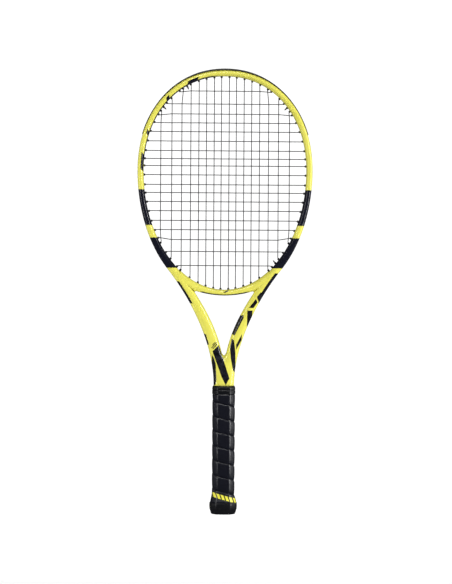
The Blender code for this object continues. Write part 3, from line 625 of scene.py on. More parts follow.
BRIDGE_SKIN = make_bridge_skin()
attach(BRIDGE_SKIN, "racket")
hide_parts("throat_bridge")
print("bridge skin:", len(BRIDGE_SKIN.data.polygons), "faces")

# %% [markdown]
# ## Gloss paint
#
# The frame is sprayed yellow, masked and sprayed black, and clear coated. All of it is one finish, so that
# the colours meet on a clean edge under one coat. Masks are made from straight lines in the plane of the
# face: a flash is the part that lies on the inner side of each of its edges. The flashes are plain angular
# shapes with slanted ends.

# %% Flashes on the paint


def flash(paint, *corners, soft=0.00025):
    """Mask of a convex shape with these corners (x, z) in millimetres, listed clockwise."""
    mask = 1.0
    for (ax, az), (bx, bz) in zip(corners, corners[1:] + corners[:1]):
        length = math.hypot(bx - ax, bz - az)
        nx, nz = (bz - az) / length, -(bx - ax) / length
        inside = paint.x * nx + paint.z * nz - (ax * nx + az * nz) / 1000
        edge = inside.above(0.0, soft)
        mask = edge if mask == 1.0 else mask & edge
    return mask


NECK_FLASHES = (
    ((-8.3, 260.5), (8.5, 209), (2.7, 198.5), (-3.5, 211), (-17.8, 250.5)),
    ((-18.6, 246), (-15.9, 240.5), (-12.7, 231.5), (-11.4, 207), (-13, 198.3), (-16.5, 198.3),
     (-18.8, 215), (-18.8, 232)),
    ((-19.8, 256), (-12.2, 264.9), (-11.2, 264.1), (-18.8, 255)),
    ((-17.8, 254.8), (-11, 262.5), (-10, 261.5), (-16.6, 254.2)),
    ((-18.2, 260.5), (-14.6, 264.7), (-13.7, 263.9), (-17.3, 259.7)),
    ((-31.5, 278), (-28.0, 276.5), (-23.2, 261), (-26.5, 260), (-30, 268)),
)
ARM_FLASHES = (
    ((11.5, 270), (15.2, 268), (17.4, 250), (17.9, 226), (16.4, 218), (13.6, 222), (10.4, 240), (9, 257)),
    ((19.2, 233), (22.8, 239), (22.6, 231), (19.2, 222)),
    ((18.6, 261), (27.3, 277.3), (27, 268), (18.6, 253)),
    ((22, 306), (29.5, 306), (29.8, 302), (16, 275), (12, 277), (15.5, 289)),
    ((35.4, 313.5), (43.6, 313.5), (42.4, 299), (37, 283.5), (34.8, 290)),
    ((37.5, 317.5), (48.5, 331.5), (51, 326), (45, 317.5)),
    ((50, 334.5), (56, 342), (58.8, 338), (58.6, 330), (54.2, 321.5), (52.2, 327.5)),
    ((-1.8, 341.2), (5.5, 344.9), (6.5, 343.2), (0.5, 340)),
)
print("flashes:", len(NECK_FLASHES), "on the neck and left arm,", len(ARM_FLASHES),
      "on the right arm and bridge")

# %% Yellow and black under one clear coat
BANDS = ((0.4440, 0.4990), (0.3785, 0.4250))  # heights
DASHES = ((0.0430, 0.0620), (0.0990, 0.1060), (0.1640, 0.1710), (0.2020, 0.2290))  # from the tip


def any_of(masks):
    """A mask that is 1 wherever at least one of these is."""
    return functools.reduce(lambda first, second: first | second, masks)


def black_marks(paint):
    """Mask of all the black on the frame: two bands each side, flashes, edge lines and inner dashes."""
    z, across = paint.z, paint.carried("across")
    left = paint.x.below(0.0, 0.0005)
    mask = any_of(z.between(low, high, 0.0003) for low, high in BANDS)
    mask = mask | any_of(flash(paint, *corners) for corners in NECK_FLASHES + ARM_FLASHES)
    on_arm = paint.carried("along").below(BRIDGE_MARK / 2, 0.1)
    left_line = on_arm & across.above(0.50, 0.03) & z.between(0.3240, 0.3580, 0.0006) & left
    right_line = on_arm & across.above(0.28, 0.03) & z.between(0.3340, 0.3710, 0.0006) & (1 - left)
    bridge_line = (1 - on_arm) & across.below(-0.62, 0.04) & abs(paint.x).below(0.036, 0.002)
    inner_side = across.below(-0.80, 0.02) & z.between(0.5430, 0.6740, 0.0006) & left
    dashes = dash_row(paint, across) & left
    return mask | left_line | right_line | bridge_line | inner_side | dashes


def dash_row(paint, across):
    """Slanted blocks of three lengths along the inner half of the upper left of the hoop."""
    slant = paint.carried("along") + across * 0.004
    blocks = any_of(slant.between(low, high, 0.0004) for low, high in DASHES)
    return blocks & across.between(-0.95, -0.05, 0.03)


def make_frame_paint():
    paint = Finish("frame_paint", Coat_Roughness=0.08, Specular_IOR_Level=0.30)
    black = black_marks(paint)
    cloud = paint.noise(22.0, 3.0)
    flake = paint.noise(2600.0, 1.0)
    yellow = paint.blend(cloud, (0.71, 0.670, 0.085), (0.77, 0.725, 0.110))
    yellow = paint.blend(flake * 0.22, yellow, (0.93, 0.90, 0.22))
    grain = ((paint.x * 5200 + paint.z * 1900).wave() * 0.5 + 0.5) * paint.noise(160.0, 2.0)
    coal = paint.blend(grain.above(0.42, 0.1), (0.0030, 0.0031, 0.0050), (0.030, 0.031, 0.042))
    throat = paint.z.below(0.345, 0.002)
    coal = paint.blend(throat, (0.0060, 0.0066, 0.0135), coal)
    paint.set("Base Color", paint.blend(black, yellow, coal))
    peel = paint.noise(420.0, 2.0)
    scuff = paint.noise(90.0, 6.0, 0.7).above(0.68, 0.03)
    paint.set("Roughness", 0.26 - black * 0.08 + peel * 0.06 + scuff * 0.18)
    paint.set("Coat Weight", 0.50 - black * 0.38)
    ridge = paint.bump(black, 0.00006)
    paint.set("Normal", paint.bump(peel, 0.00004, 0.5, ridge))
    return paint


PAINT = make_frame_paint()
for skin in (FRAME_SKIN, BRIDGE_SKIN):
    PAINT.on(skin)
print("paint nodes:", len(PAINT.tree.nodes))

# %% [markdown]
# ## String holes
#
# Eight upright strings each side of the middle and nineteen level ones make the string bed. Each end goes
# through a nylon barrel that points along the hoop's egg. The holes are spread a little, so that no two
# barrels touch, as on the drilled frame.

# %% Where each hole is
MAIN_X = (0.0060, 0.0170, 0.0289, 0.0406, 0.0530, 0.0669, 0.0822, 0.0992)
CROSS_Z = (0.6515, 0.6315, 0.6160, 0.6023, 0.5887, 0.5741, 0.5594, 0.5470, 0.5361, 0.5221,
           0.5071, 0.4946, 0.4808, 0.4666, 0.4517, 0.4375, 0.4222, 0.4040, 0.3823)
STRING_RADIUS, LANE, NUB, STRIP_THICK = 0.00065, 0.0017, 0.0025, 0.0008
TIP_SIZE = (INNER_HALF - NUB, INNER_RISE - NUB, INNER_DROP - NUB)


def spread_apart(angles, least=math.radians(2.9)):
    """The same angles in the same order, pushed apart until neighbours are this far from each other."""
    order = np.argsort(angles)
    row = np.asarray(angles, float)[order]
    for _ in range(400):
        short = np.maximum(0, least - np.diff(row)) / 2
        row[:-1] -= short
        row[1:] += short
    back = np.empty_like(row)
    back[order] = row
    return back


def hole_angles():
    """Angle on the egg of each hole of the right half: main tops, main feet, crosses, then three ties."""
    main, cross = np.array(MAIN_X), np.array(CROSS_Z)
    top = np.arccos((main / TIP_SIZE[0]) ** (SQUARENESS / 2))
    foot = -np.arccos(main / TIP_SIZE[0])
    high = np.clip((cross - WIDEST_Z) / TIP_SIZE[1], 0, 1) ** (SQUARENESS / 2)
    low = np.clip((WIDEST_Z - cross) / TIP_SIZE[2], 0, 1)
    side = np.arcsin(high) - np.arcsin(low)
    ties = [(top[7] + top[6]) / 2 - math.radians(2), (top[5] + top[4]) / 2 + math.radians(1),
            (side[18] + foot[6]) / 2]
    return spread_apart(np.concatenate([top, foot, side, ties]))


def crossed_by(line, start, way):
    """The point where a ray in the (x, z) plane meets a line of points."""
    fine = np.linspace(0, len(line) - 1, 12001)
    points = np.stack([np.interp(fine, np.arange(len(line)), line[:, k]) for k in (0, 1)], -1)
    offset = points - start
    aside = np.abs(offset[:, 0] * way[1] - offset[:, 1] * way[0])
    return points[np.argmin(np.where(offset @ way > 0, aside, 1.0))]


def hole(angle, on_bridge):
    """Inner end of the barrel, the way it points and its mouth in the outer side, on the right half."""
    tip = egg(np.float64(angle), *TIP_SIZE)
    way = egg(np.float64(angle), INNER_HALF, INNER_RISE, INNER_DROP) - tip
    way /= np.linalg.norm(way)
    if on_bridge:
        way = (way + (0, -1)) / np.linalg.norm(way + (0, -1))
    return tip, way, crossed_by(bridge_rails()[1] if on_bridge else OUTER, tip, way)


NAMES = ([("top", k) for k in range(8)] + [("foot", k) for k in range(8)]
         + [("side", j) for j in range(19)] + ["main tie", "cross top tie", "cross foot tie"])
RIGHT = {name: hole(angle, 8 <= i < 12) for i, (name, angle) in enumerate(zip(NAMES, hole_angles()))}
HOLES = {(name, side): tuple(v * (side, 1) for v in RIGHT[name]) for name in NAMES for side in (-1, 1)}
del HOLES["cross top tie", 1], HOLES["cross foot tie", -1]
print("string holes:", len(HOLES))

# %% [markdown]
# ## Barrels and strips
#
# A grommet strip is moulded in one with its barrels. A barrel is a turned shape: a profile of radius against
# height, spun round the hole's line. All of them are worked out at once, as one array.

# %% Barrels
BARREL_SIDES = 14


def turned(profile, centres, ways, sides=BARREL_SIDES):
    """Rings of a profile (radius, height) spun round each line: centre + height * way + radius * (cos * y
    + sin * third). Shape (lines, rows, sides, 3)."""
    radius, height = np.array(profile).T
    spin = np.arange(sides) * 2 * math.pi / sides
    y = np.array([0.0, 1.0, 0.0])
    third = np.cross(ways, y)
    ring = (np.cos(spin)[None, :, None] * y + np.sin(spin)[None, :, None] * third[:, None])
    return (centres[:, None, None] + height[None, :, None, None] * ways[:, None, None]
            + radius[None, :, None, None] * ring[:, None])


def flat_to_space(points, y=0.0):
    """Points (x, z) as (x, y, z)."""
    points = np.asarray(points, float)
    return np.stack([points[..., 0], np.broadcast_to(y, points.shape[:-1]), points[..., 1]], -1)


def barrel_mesh(names):
    """Points and faces of the barrels at these holes, each from its strip's floor to its rounded nub."""
    tips, ways, mouths = (flat_to_space([HOLES[n][k] for n in names]) for k in range(3))
    lengths = np.linalg.norm(mouths - tips, axis=1) - CHANNEL_DEPTH + GAP + STRIP_THICK / 2
    parts = []
    for tip, way, length in zip(tips, ways, lengths):
        profile = [(0.00105, 0.0022), (0.00108, 0.0004), (0.00118, 0.0), (0.00150, 0.00012),
                   (0.00172, 0.0007), (0.00176, 0.0020), (0.00182, length), (0.00105, length)]
        parts.append(turned(profile, tip[None], way[None])[0])
    rows = len(parts[0])
    faces = grid_faces(rows, BARREL_SIDES, round_columns=True)
    count = rows * BARREL_SIDES
    return (np.concatenate([p.reshape(-1, 3) for p in parts]),
            np.concatenate([faces + k * count for k in range(len(parts))]))


print("one barrel has", 7 * BARREL_SIDES, "faces")

# %% Strips along the channel
BUMPER_TURN = math.radians(20.4)
THROAT_STRIP_HALF, PAST_FOOT_HOLE = 0.0385, 0.010
BUMPER_PROUD, BUMPER_HALF = 0.0026, 0.0082
FLOOR = GAP - CHANNEL_DEPTH
GROOVE = LANE + STRING_RADIUS + GAP


def whole_line(right):
    """The right half's points with their mirror image before them."""
    return np.concatenate([right[:0:-1] * (-1, 1), right])


def both_sides(profile):
    """A strip's section (height, y) from half of it."""
    return np.array(profile + [(u, -y) for u, y in reversed(profile)])


def strip(name, inner, outer, section, barrels, slim=None):
    """A section carried along the outer side, closed at its ends, with its barrels in the same mesh."""
    width = np.linalg.norm(outer - inner, axis=1)
    up, aside = (np.broadcast_to(section[:, k], (len(width), len(section))) for k in (0, 1))
    if slim is not None:
        up = np.where(up > 0, up * slim[:, None], up)
    grid = carried(width[:, None] / 2 + up, aside, inner, outer)
    rows, columns = grid.shape[:2]
    points, faces = grid.reshape(-1, 3), grid_faces(rows, columns, round_columns=True)
    more, more_faces = barrel_mesh(barrels)
    made = new_mesh(name, np.concatenate([points, more]),
                    np.concatenate([faces, more_faces + len(points)]).tolist())
    return tidied(made)


def holes_where(test):
    """Names of the holes whose mouth passes a test."""
    return [name for name, (_, _, mouth) in HOLES.items() if test(name, mouth)]


def on_bridge(name):
    return isinstance(name[0], tuple) and name[0][0] == "foot" and name[0][1] < 4


PLAIN = both_sides([(FLOOR, -0.0037), (FLOOR + 0.0006, -0.0037), (FLOOR + STRIP_THICK, -0.0034),
                    (FLOOR + STRIP_THICK, -0.0010)])
BUMPER = both_sides([(FLOOR, -0.0037), (GAP, -0.0037), (GAP, -0.0080), (0.0007, -BUMPER_HALF),
                     (0.0016, -0.0081), (0.0022, -0.0076), (BUMPER_PROUD, -0.0066),
                     (BUMPER_PROUD, -0.0047), (0.0023, -0.0044), (0.0023, -0.0038),
                     (BUMPER_PROUD, -0.0035), (BUMPER_PROUD, -GROOVE - 0.0002),
                     (BUMPER_PROUD - 0.0003, -GROOVE), (FLOOR + STRIP_THICK, -GROOVE)])
WHOLE_INNER, WHOLE_OUTER = whole_line(INNER), whole_line(OUTER)
TURN = np.arctan2((WHOLE_OUTER[:, 1] - WIDEST_Z) / OUTER_RISE, np.abs(WHOLE_OUTER[:, 0]) / OUTER_HALF)
HEAD = TURN > BUMPER_TURN
HEAD_Z = WHOLE_OUTER[HEAD][0, 1]
SLIM = 0.30 + 0.70 * smooth(math.radians(30), math.radians(90), TURN[HEAD])

BUMPER_GUARD = strip("bumper_skin", WHOLE_INNER[HEAD], WHOLE_OUTER[HEAD], BUMPER,
                     holes_where(lambda n, m: m[1] > HEAD_Z), SLIM)
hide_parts("bumper_guard")
STRIPS = [BUMPER_GUARD]
FOOT_Z = RIGHT["foot", 4][2][1] - PAST_FOOT_HOLE
for side, word in ((-1, "left"), (1, "right")):
    here = (~HEAD) & (WHOLE_OUTER[:, 0] * side > 0) & (WHOLE_OUTER[:, 1] > FOOT_Z)
    STRIPS.append(strip(f"side_strip_{word}", WHOLE_INNER[here], WHOLE_OUTER[here], PLAIN, holes_where(
        lambda n, m: m[1] <= HEAD_Z and m[0] * side > 0 and not on_bridge(n))))
    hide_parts(f"grommet_strip_{word}")
top, under = bridge_rails()
here = np.abs(under[:, 0]) < THROAT_STRIP_HALF
STRIPS.append(strip("throat_strip", top[here], under[here], PLAIN, holes_where(
    lambda n, m: on_bridge(n))))
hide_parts("bridge_grommet_strip")
for made in STRIPS:
    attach(made, "racket")
    print(made.name, len(made.data.polygons), "faces")

# %% [markdown]
# ## The two strings
#
# A racket is strung with two lengths. One makes all the upright strings, the other all the level ones, and
# each runs along the channel from hole to hole and ends in a knot. The route is a list of knots in space.
# It is filled in evenly, rounded by a moving average so that no bend is a corner, and swept with a ring.
# The strings give way to each other by half of their thickness at each crossing.

# %% Routes
YIELD = 0.00074                # how far each string moves aside at a crossing
STRAIGHT_FROM = 0.011
STRING_STEP = 0.0014


def plan(start, end, level, upright):
    """A string in plan, from nub to nub: straight along its own line, turned a little near each nub."""
    along = 1 if upright else 0
    sign = 1 if end[along] > start[along] else -1
    near, far = np.array(start), np.array(end)
    near[along] += sign * STRAIGHT_FROM
    far[along] -= sign * STRAIGHT_FROM
    near[1 - along] = far[1 - along] = level
    return np.array([start, near, far, end])


def meeting(upright, level):
    """Where an upright and a level plan cross: two rounds of reading one line at the other's place."""
    x, z = upright[1, 0], level[1, 1]
    for _ in range(6):
        order = np.argsort(upright[:, 1])
        x = np.interp(z, upright[order, 1], upright[order, 0])
        order = np.argsort(level[:, 0])
        z = np.interp(x, level[order, 0], level[order, 1])
    inside = upright[:, 1].min() < z < upright[:, 1].max() and level[:, 0].min() < x < level[:, 0].max()
    return (x, z) if inside else None


MAINS = [((("foot", k), s), (("top", k), s), s * MAIN_X[k]) for s, ks in
         ((-1, range(7, -1, -1)), (1, range(8))) for k in ks]
MAIN_PLANS = [plan(HOLES[a][0], HOLES[b][0], x, True) for a, b, x in MAINS]
CROSS_PLANS = [plan(HOLES[("side", j), -1][0], HOLES[("side", j), 1][0], z, False)
               for j, z in enumerate(CROSS_Z)]


def knots(own, others, sign, upright):
    """A string's knots: its plan, with a step aside at every crossing, in order along it."""
    found = [(own[0][0], 0.0, own[0][1]), (own[-1][0], 0.0, own[-1][1])]
    for number, other in enumerate(others):
        at = meeting(own, other) if upright else meeting(other, own)
        if at:
            found.append((at[0], sign * YIELD * (-1) ** number, at[1]))
    return np.array(sorted(found, key=lambda p: p[2] if upright else p[0]))


def on_channel(name, other, lane):
    """Points of a run along the channel between two holes, above the strip's floor."""
    line, bridge = WHOLE_OUTER, on_bridge(name) and on_bridge(other)
    rail_top, rail_under = bridge_rails()
    line, inner = (rail_under, rail_top) if bridge else (WHOLE_OUTER, WHOLE_INNER)
    a, b = (int(np.argmin(np.linalg.norm(line - HOLES[n][2], axis=1))) for n in (name, other))
    picks = np.linspace(a, b, 9)[1:-1].round().astype(int)
    out = line[picks] - inner[picks]
    out /= np.linalg.norm(out, axis=1, keepdims=True)
    lift = STRING_RADIUS + 2 * GAP + STRIP_THICK - CHANNEL_DEPTH
    ends = [HOLES[n][2] + lift * HOLES[n][1] for n in (name, other)]
    middle = flat_to_space(line[picks] + lift * out, lane)
    return np.concatenate([flat_to_space([ends[0]]), middle, flat_to_space([ends[1]])])


def tied_end(name):
    """A short tail past the nub where a string is tied off, from the hole outwards."""
    tip, way, _ = HOLES[name]
    return flat_to_space([tip, tip - 0.0012 * way, tip - 0.0042 * way])


def whole_route(first, last, pieces, lane):
    """One length of string: tied end, the strings in turn with the channel runs between, tied end."""
    parts = [tied_end(first)[::-1], on_channel(first, pieces[0][0], lane)]
    for number, (start, end, points) in enumerate(pieces):
        parts.append(points)
        after = pieces[number + 1][0] if number + 1 < len(pieces) else last
        parts.append(on_channel(end, after, lane))
    return np.concatenate(parts + [tied_end(last)])


def string_pieces(ends, plans, others, upright):
    """Start hole, end hole and knots of each string, every second one turned round."""
    found = []
    for number, ((start, end), own) in enumerate(zip(ends, plans)):
        points = knots(own, others, (-1) ** number * (-1 if upright else 1), upright)
        back = number % 2 == (0 if upright else 1)
        found.append((end, start, points[::-1]) if back else (start, end, points))
    return found


MAIN_ROUTE = whole_route(("main tie", -1), ("main tie", 1), string_pieces(
    [(a, b) for a, b, _ in MAINS], MAIN_PLANS, CROSS_PLANS, True), LANE)
CROSS_ROUTE = whole_route(("cross top tie", -1), ("cross foot tie", 1), string_pieces(
    [((("side", j), -1), (("side", j), 1)) for j in range(19)], CROSS_PLANS, MAIN_PLANS, False), -LANE)

# %% Sweep the strings


def filled_in(points, step):
    """The same line with points a step apart, rounded by averaging each one with its neighbours."""
    length = travelled(points)
    even = np.linspace(0, length[-1], int(length[-1] / step) + 1)
    dense = np.stack([np.interp(even, length, points[:, k]) for k in range(3)], -1)
    padded = np.concatenate([dense[:1], dense, dense[-1:]])
    return (padded[:-2] + 2 * padded[1:-1] + padded[2:]) / 4, even


def swept(name, route, radius, sides=8):
    """A ring carried along a line. One side of the ring keeps to y as far as the line lets it."""
    path, along = filled_in(route, STRING_STEP)
    way = np.gradient(path, axis=0)
    way /= np.maximum(np.linalg.norm(way, axis=1, keepdims=True), 1e-9)
    y = np.array([0.0, 1.0, 0.0])
    first = y - (way @ y)[:, None] * way
    first /= np.linalg.norm(first, axis=1, keepdims=True)
    second = np.cross(way, first)
    spin = np.arange(sides) * 2 * math.pi / sides
    end = np.minimum(along, along[-1] - along)
    thick = radius * (1 + 1.0 * np.exp(-((end - 0.0030) / 0.0011) ** 2))
    ring = np.cos(spin)[None, :, None] * first[:, None] + np.sin(spin)[None, :, None] * second[:, None]
    grid = path[:, None] + thick[:, None, None] * ring
    made = new_mesh(name, grid, grid_faces(len(path), sides, round_columns=True).tolist())
    carry(made, "along", np.repeat(along, sides))
    return tidied(made, 70.0)


MAIN_STRING = swept("upright_string", MAIN_ROUTE, STRING_RADIUS)
CROSS_STRING = swept("level_string", CROSS_ROUTE, STRING_RADIUS)
for made, node in ((MAIN_STRING, "main_string"), (CROSS_STRING, "cross_string")):
    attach(made, "racket")
    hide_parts(node)
    print(made.name, len(made.data.polygons), "faces")
print("string used, m:", round(float(travelled(MAIN_ROUTE)[-1] + travelled(CROSS_ROUTE)[-1]), 2))

# %% [markdown]
# ## Nylon and string
#
# The strips are moulded nylon with a fine spark-eroded grain, polished where balls and ground have rubbed
# the bumper. The string is smooth black polyester with a faint lengthwise twist.

# %% Nylon and string finishes


def make_nylon(name="black_nylon", shade=0.005, rough=0.42):
    nylon = Finish(name, Specular_IOR_Level=0.4)
    grain, cloud = nylon.noise(2400.0, 2.0), nylon.noise(60.0, 3.0)
    rub = nylon.noise(150.0, 5.0, 0.7).above(0.60, 0.05)
    nylon.set("Base Color", nylon.blend(cloud, (shade, shade, shade * 1.1),
                                        (shade * 2.0, shade * 2.0, shade * 2.1)))
    nylon.set("Roughness", rough + grain * 0.14 - rub * 0.10)
    nylon.set("Normal", nylon.bump(grain, 0.00006, 0.6))
    return nylon


def make_bumper_finish():
    """Charcoal nylon with the fine scratches of play along its crown."""
    nylon = Finish("bumper_nylon", Specular_IOR_Level=0.4)
    grain, cloud = nylon.noise(2400.0, 2.0), nylon.noise(80.0, 4.0)
    streak = nylon.noise(700.0, 4.0, 0.6).above(0.60, 0.04) * nylon.noise(40.0, 2.0).above(0.45, 0.1)
    dark = nylon.blend(cloud, (0.030, 0.031, 0.027), (0.055, 0.056, 0.048))
    nylon.set("Base Color", nylon.blend(streak * 0.5, dark, (0.16, 0.16, 0.14)))
    nylon.set("Roughness", 0.45 + grain * 0.15 + streak * 0.15)
    nylon.set("Normal", nylon.bump(grain + streak * -0.6, 0.00008, 0.7))
    return nylon


def make_string_finish():
    cord = Finish("black_string", Specular_IOR_Level=0.3)
    along = cord.carried("along")
    twist = (along * 2600.0 + cord.y * 3000.0).wave() * 0.5 + 0.5
    wear = cord.noise(300.0, 3.0)
    cord.set("Base Color", cord.blend(twist * 0.5 + wear * 0.3, (0.004, 0.004, 0.007),
                                      (0.012, 0.012, 0.018)))
    cord.set("Roughness", 0.30 + wear * 0.2)
    cord.set("Normal", cord.bump(twist, 0.00002, 0.5))
    return cord


NYLON, BUMPER_FINISH, STRING_FINISH = make_nylon(), make_bumper_finish(), make_string_finish()
for made in STRIPS[1:]:
    NYLON.on(made)
BUMPER_FINISH.on(BUMPER_GUARD)
for made in (MAIN_STRING, CROSS_STRING):
    STRING_FINISH.on(made)
print("strips and strings finished")

# %% [markdown]
# ## Handle
#
# The handle is an octagon with softened corners. In polar form its radius is the smooth minimum of its eight
# flats' distances: (sum of (cos(angle - flat) / distance)^24) to the power -1/24. Every layer of the
# handle is this one function with a different inset, so the layers stay parallel.

# %% Octagon in polar form
GRIP_HALF, GRIP_HALF_DEPTH, GRIP_BEVEL = 0.0175, 0.0155, 0.0085
FLAT_DIAGONAL = (GRIP_HALF - GRIP_BEVEL + GRIP_HALF_DEPTH) / math.sqrt(2)
FLATS = np.array([GRIP_HALF, FLAT_DIAGONAL, GRIP_HALF_DEPTH, FLAT_DIAGONAL] * 2)
ROUND_COUNT = 128


def octagon_radius(angle, inset, flats=FLATS, power=24):
    """Radius of a soft octagon at an angle, with every flat moved in by inset."""
    facing = np.arange(8) * math.pi / 4
    near = np.maximum(np.cos(angle[..., None] - facing), 0)
    return np.sum((near / (flats - np.asarray(inset)[..., None])) ** power, axis=-1) ** (-1 / power)


def around(heights, insets, count=ROUND_COUNT, flats=FLATS):
    """Octagonal rings, one for each height: a grid of (x, y, z). Insets may vary round the ring."""
    angle = np.broadcast_to(np.arange(count) * 2 * math.pi / count, (len(heights), count))
    radius = octagon_radius(angle, insets, flats)
    z = np.broadcast_to(np.asarray(heights, float)[:, None], radius.shape)
    return np.stack([radius * np.cos(angle), radius * np.sin(angle), z], -1)


def ring_piece(name, grid, closed=True, sharp=35.0):
    """A mesh from rings; closed joins the last ring to the first, as for a sleeve."""
    rows, columns = grid.shape[:2]
    faces = grid_faces(rows, columns, round_rows=closed, round_columns=True)
    return tidied(new_mesh(name, grid, faces.tolist()), sharp)


print("grip flats, mm:", (2000 * FLATS[:3]).round(1))

# %% [markdown]
# ## Wound grip
#
# The grip is one padded tape, wound up the handle like a stripe on a pole, each turn lapping over the last.
# It could be a strip swept along a helix, but then the laps would need care where they cross the corners.
# Height and angle together tell how far a point is through its turn, so the whole grip is one sleeve whose
# surface rises and falls with that share: sunk just above a lap, full in the middle, rolled over at the end.

# %% Grip surface
GRIP_TURN, GRIP_SEAM_Z, GRIP_THICK = 0.02255, 0.0308, 0.0018
GRIP_LOW_Z, GRIP_TOP_Z = 0.0180, 0.1841
FLARE_Z, FLARE_OUT = (0.0180, 0.0225, 0.0270, 0.0310), (0.0034, 0.0019, 0.0008, 0.0)


def turn_share(angle, z):
    """How far a point is through its turn of tape: 0 just above a lap, 1 just under the next one."""
    climb = (z - GRIP_SEAM_Z) / GRIP_TURN + (angle + math.pi / 4) / (2 * math.pi)
    return climb - np.floor(climb)


def tape_sink(share):
    """How deep the tape's face lies below its fullest: sunk and steep after a lap, gently crowned, and
    rolled over at the edge."""
    start = 0.00120 * np.exp(-share / 0.050) + 0.00040 * np.exp(-share / 0.22)
    crown = 0.00030 * (2 * share - 1.15) ** 2
    roll = 0.00045 * smooth(0.90, 1.0, share) ** 1.5
    return start + crown + roll


def make_grip():
    heights = np.linspace(GRIP_LOW_Z, GRIP_TOP_Z, 560)
    angle = np.broadcast_to(np.arange(ROUND_COUNT) * 2 * math.pi / ROUND_COUNT, (560, ROUND_COUNT))
    z = np.broadcast_to(heights[:, None], angle.shape)
    share = turn_share(angle, z)
    ends = 0.0006 * (smooth(GRIP_LOW_Z + 0.0012, GRIP_LOW_Z, z) + smooth(GRIP_TOP_Z - 0.001, GRIP_TOP_Z, z))
    insets = tape_sink(share) - np.interp(z, FLARE_Z, FLARE_OUT) + ends
    outside = around(heights, insets)
    low = np.array([GRIP_TOP_Z, *FLARE_Z[::-1]])
    under = around(low, np.repeat(GRIP_THICK - np.interp(low, FLARE_Z, FLARE_OUT)[:, None], ROUND_COUNT, 1))
    made = ring_piece("wound_grip", np.concatenate([outside, under]), True, 50.0)
    return made


GRIP = make_grip()
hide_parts("base_grip")
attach(GRIP, "racket")
print("grip:", len(GRIP.data.polygons), "faces,", round((GRIP_TOP_Z - GRIP_LOW_Z) / GRIP_TURN, 1), "turns")

# %% [markdown]
# ## Collar, cap and door
#
# A stretched rubber collar hides the end of the tape and grips the neck. It rolls up the throat when the
# grip is changed, so it rides on its own body. The butt cap is a moulded cup that flares, so that the hand
# doesn't slip off, with a snap-in door in its end.

# %% Rubber collar
COLLAR_LOW_Z, COLLAR_TOP_Z, COLLAR_STEP = 0.1842, 0.1974, 0.0056
COLLAR_OUT = -0.0003


def make_collar():
    """Two soft ribs with a groove between, then a rounded lip that turns in to the neck, less at the neck's
    sides, where it is wider."""
    tall = COLLAR_TOP_Z - COLLAR_LOW_Z
    side = np.cos(np.arange(ROUND_COUNT) * 2 * math.pi / ROUND_COUNT)[None] ** 4
    z = np.linspace(0, tall, 60)
    ribs = 0.00055 * np.exp(-((z - 0.0066) / 0.0006) ** 2) + 0.00035 * smooth(0.0075, tall, z)
    foot = 0.0011 * smooth(0.0012, 0.0, z) ** 2
    lip = smooth(tall - 0.0034, tall, z)[:, None] ** 2.2 * (0.0029 - 0.0019 * side)
    outer = (COLLAR_OUT + ribs + foot)[:, None] + lip
    neck = np.array([[0.0033], [0.0035], [0.0035]]) - 0.0020 * side
    inner = np.concatenate([neck, np.full((2, ROUND_COUNT), 0.0013)])
    heights = np.concatenate([z, [tall - 0.0002, tall - 0.0012, COLLAR_STEP, COLLAR_STEP, 0.0]])
    return ring_piece("grip_collar", around(heights + COLLAR_LOW_Z, np.concatenate([outer, inner])))


COLLAR = make_collar()
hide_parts("rubber_collar")
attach(COLLAR, "rubber_collar")

# %% Butt cap and door
CAP_Z = (0.0, 0.0004, 0.0012, 0.0040, 0.0085, 0.0130, 0.0165, 0.0176)
CAP_HALF = (0.0170, 0.0179, 0.0186, 0.0196, 0.0210, 0.0213, 0.0212, 0.0208)
DOOR_FLATS = np.array([0.0098, 0.0103, 0.0068, 0.0103] * 2)


def make_cap():
    """A flared cup: outside profile, the skirt under the grip, the inside and the door's opening."""
    z = np.concatenate([np.linspace(0, 0.0012, 9), np.linspace(0.0012, 0.0165, 36)[1:],
                        np.linspace(0.0165, 0.0176, 6)[1:]])
    half = np.interp(z, CAP_Z, CAP_HALF)
    half = np.convolve(np.pad(half, 2, mode="edge"), np.ones(5) / 5, "valid")
    profile = list(zip(z, GRIP_HALF - half))
    profile += [(0.0179, 0.0022 - 0.0034), (0.0225, 0.0022 - 0.0019), (0.0270, 0.0022 - 0.0008),
                (0.0310, 0.0022), (0.0420, 0.0022), (0.0420, 0.0036), (0.0025, 0.0036)]
    heights, insets = np.array(profile).T
    cup = around(heights, np.broadcast_to(insets[:, None], (len(heights), ROUND_COUNT)))
    opening = around((0.0025, 0.0004, 0.0), np.array([[-0.0003], [-0.0003], [-0.0006]])
                     * np.ones((1, ROUND_COUNT)), flats=DOOR_FLATS)
    return ring_piece("end_cap", np.concatenate([cup, opening]), True, 30.0)


def make_door():
    """A soft-edged plate on a plug, closed to a point at both ends, with a thumbnail slot."""
    z = np.array([0.0005, 0.0005, 0.0005, 0.0007, 0.0011, 0.0021, 0.0021, 0.0051, 0.0059, 0.0059])
    inset = np.array([0.0066, 0.0030, 0.0004, 0.0001, 0.0, 0.0, 0.0012, 0.0012, 0.0018, 0.0066])
    grid = around(z, np.broadcast_to(inset[:, None], (10, ROUND_COUNT)), flats=DOOR_FLATS)
    x, y = grid[0:2, :, 0], grid[0:2, :, 1]
    grid[0:2, :, 2] += 0.0004 * np.exp(-(x / 0.004) ** 2 - (y / 0.0012) ** 2)
    return ring_piece("end_door", grid, False, 30.0)


CAP, DOOR = make_cap(), make_door()
for made, node, body in ((CAP, "butt_cap", "racket"), (DOOR, "butt_cap_door", "butt_cap_door")):
    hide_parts(node)
    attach(made, body)
print("collar, cap, door:", [len(o.data.polygons) for o in (COLLAR, CAP, DOOR)], "faces")

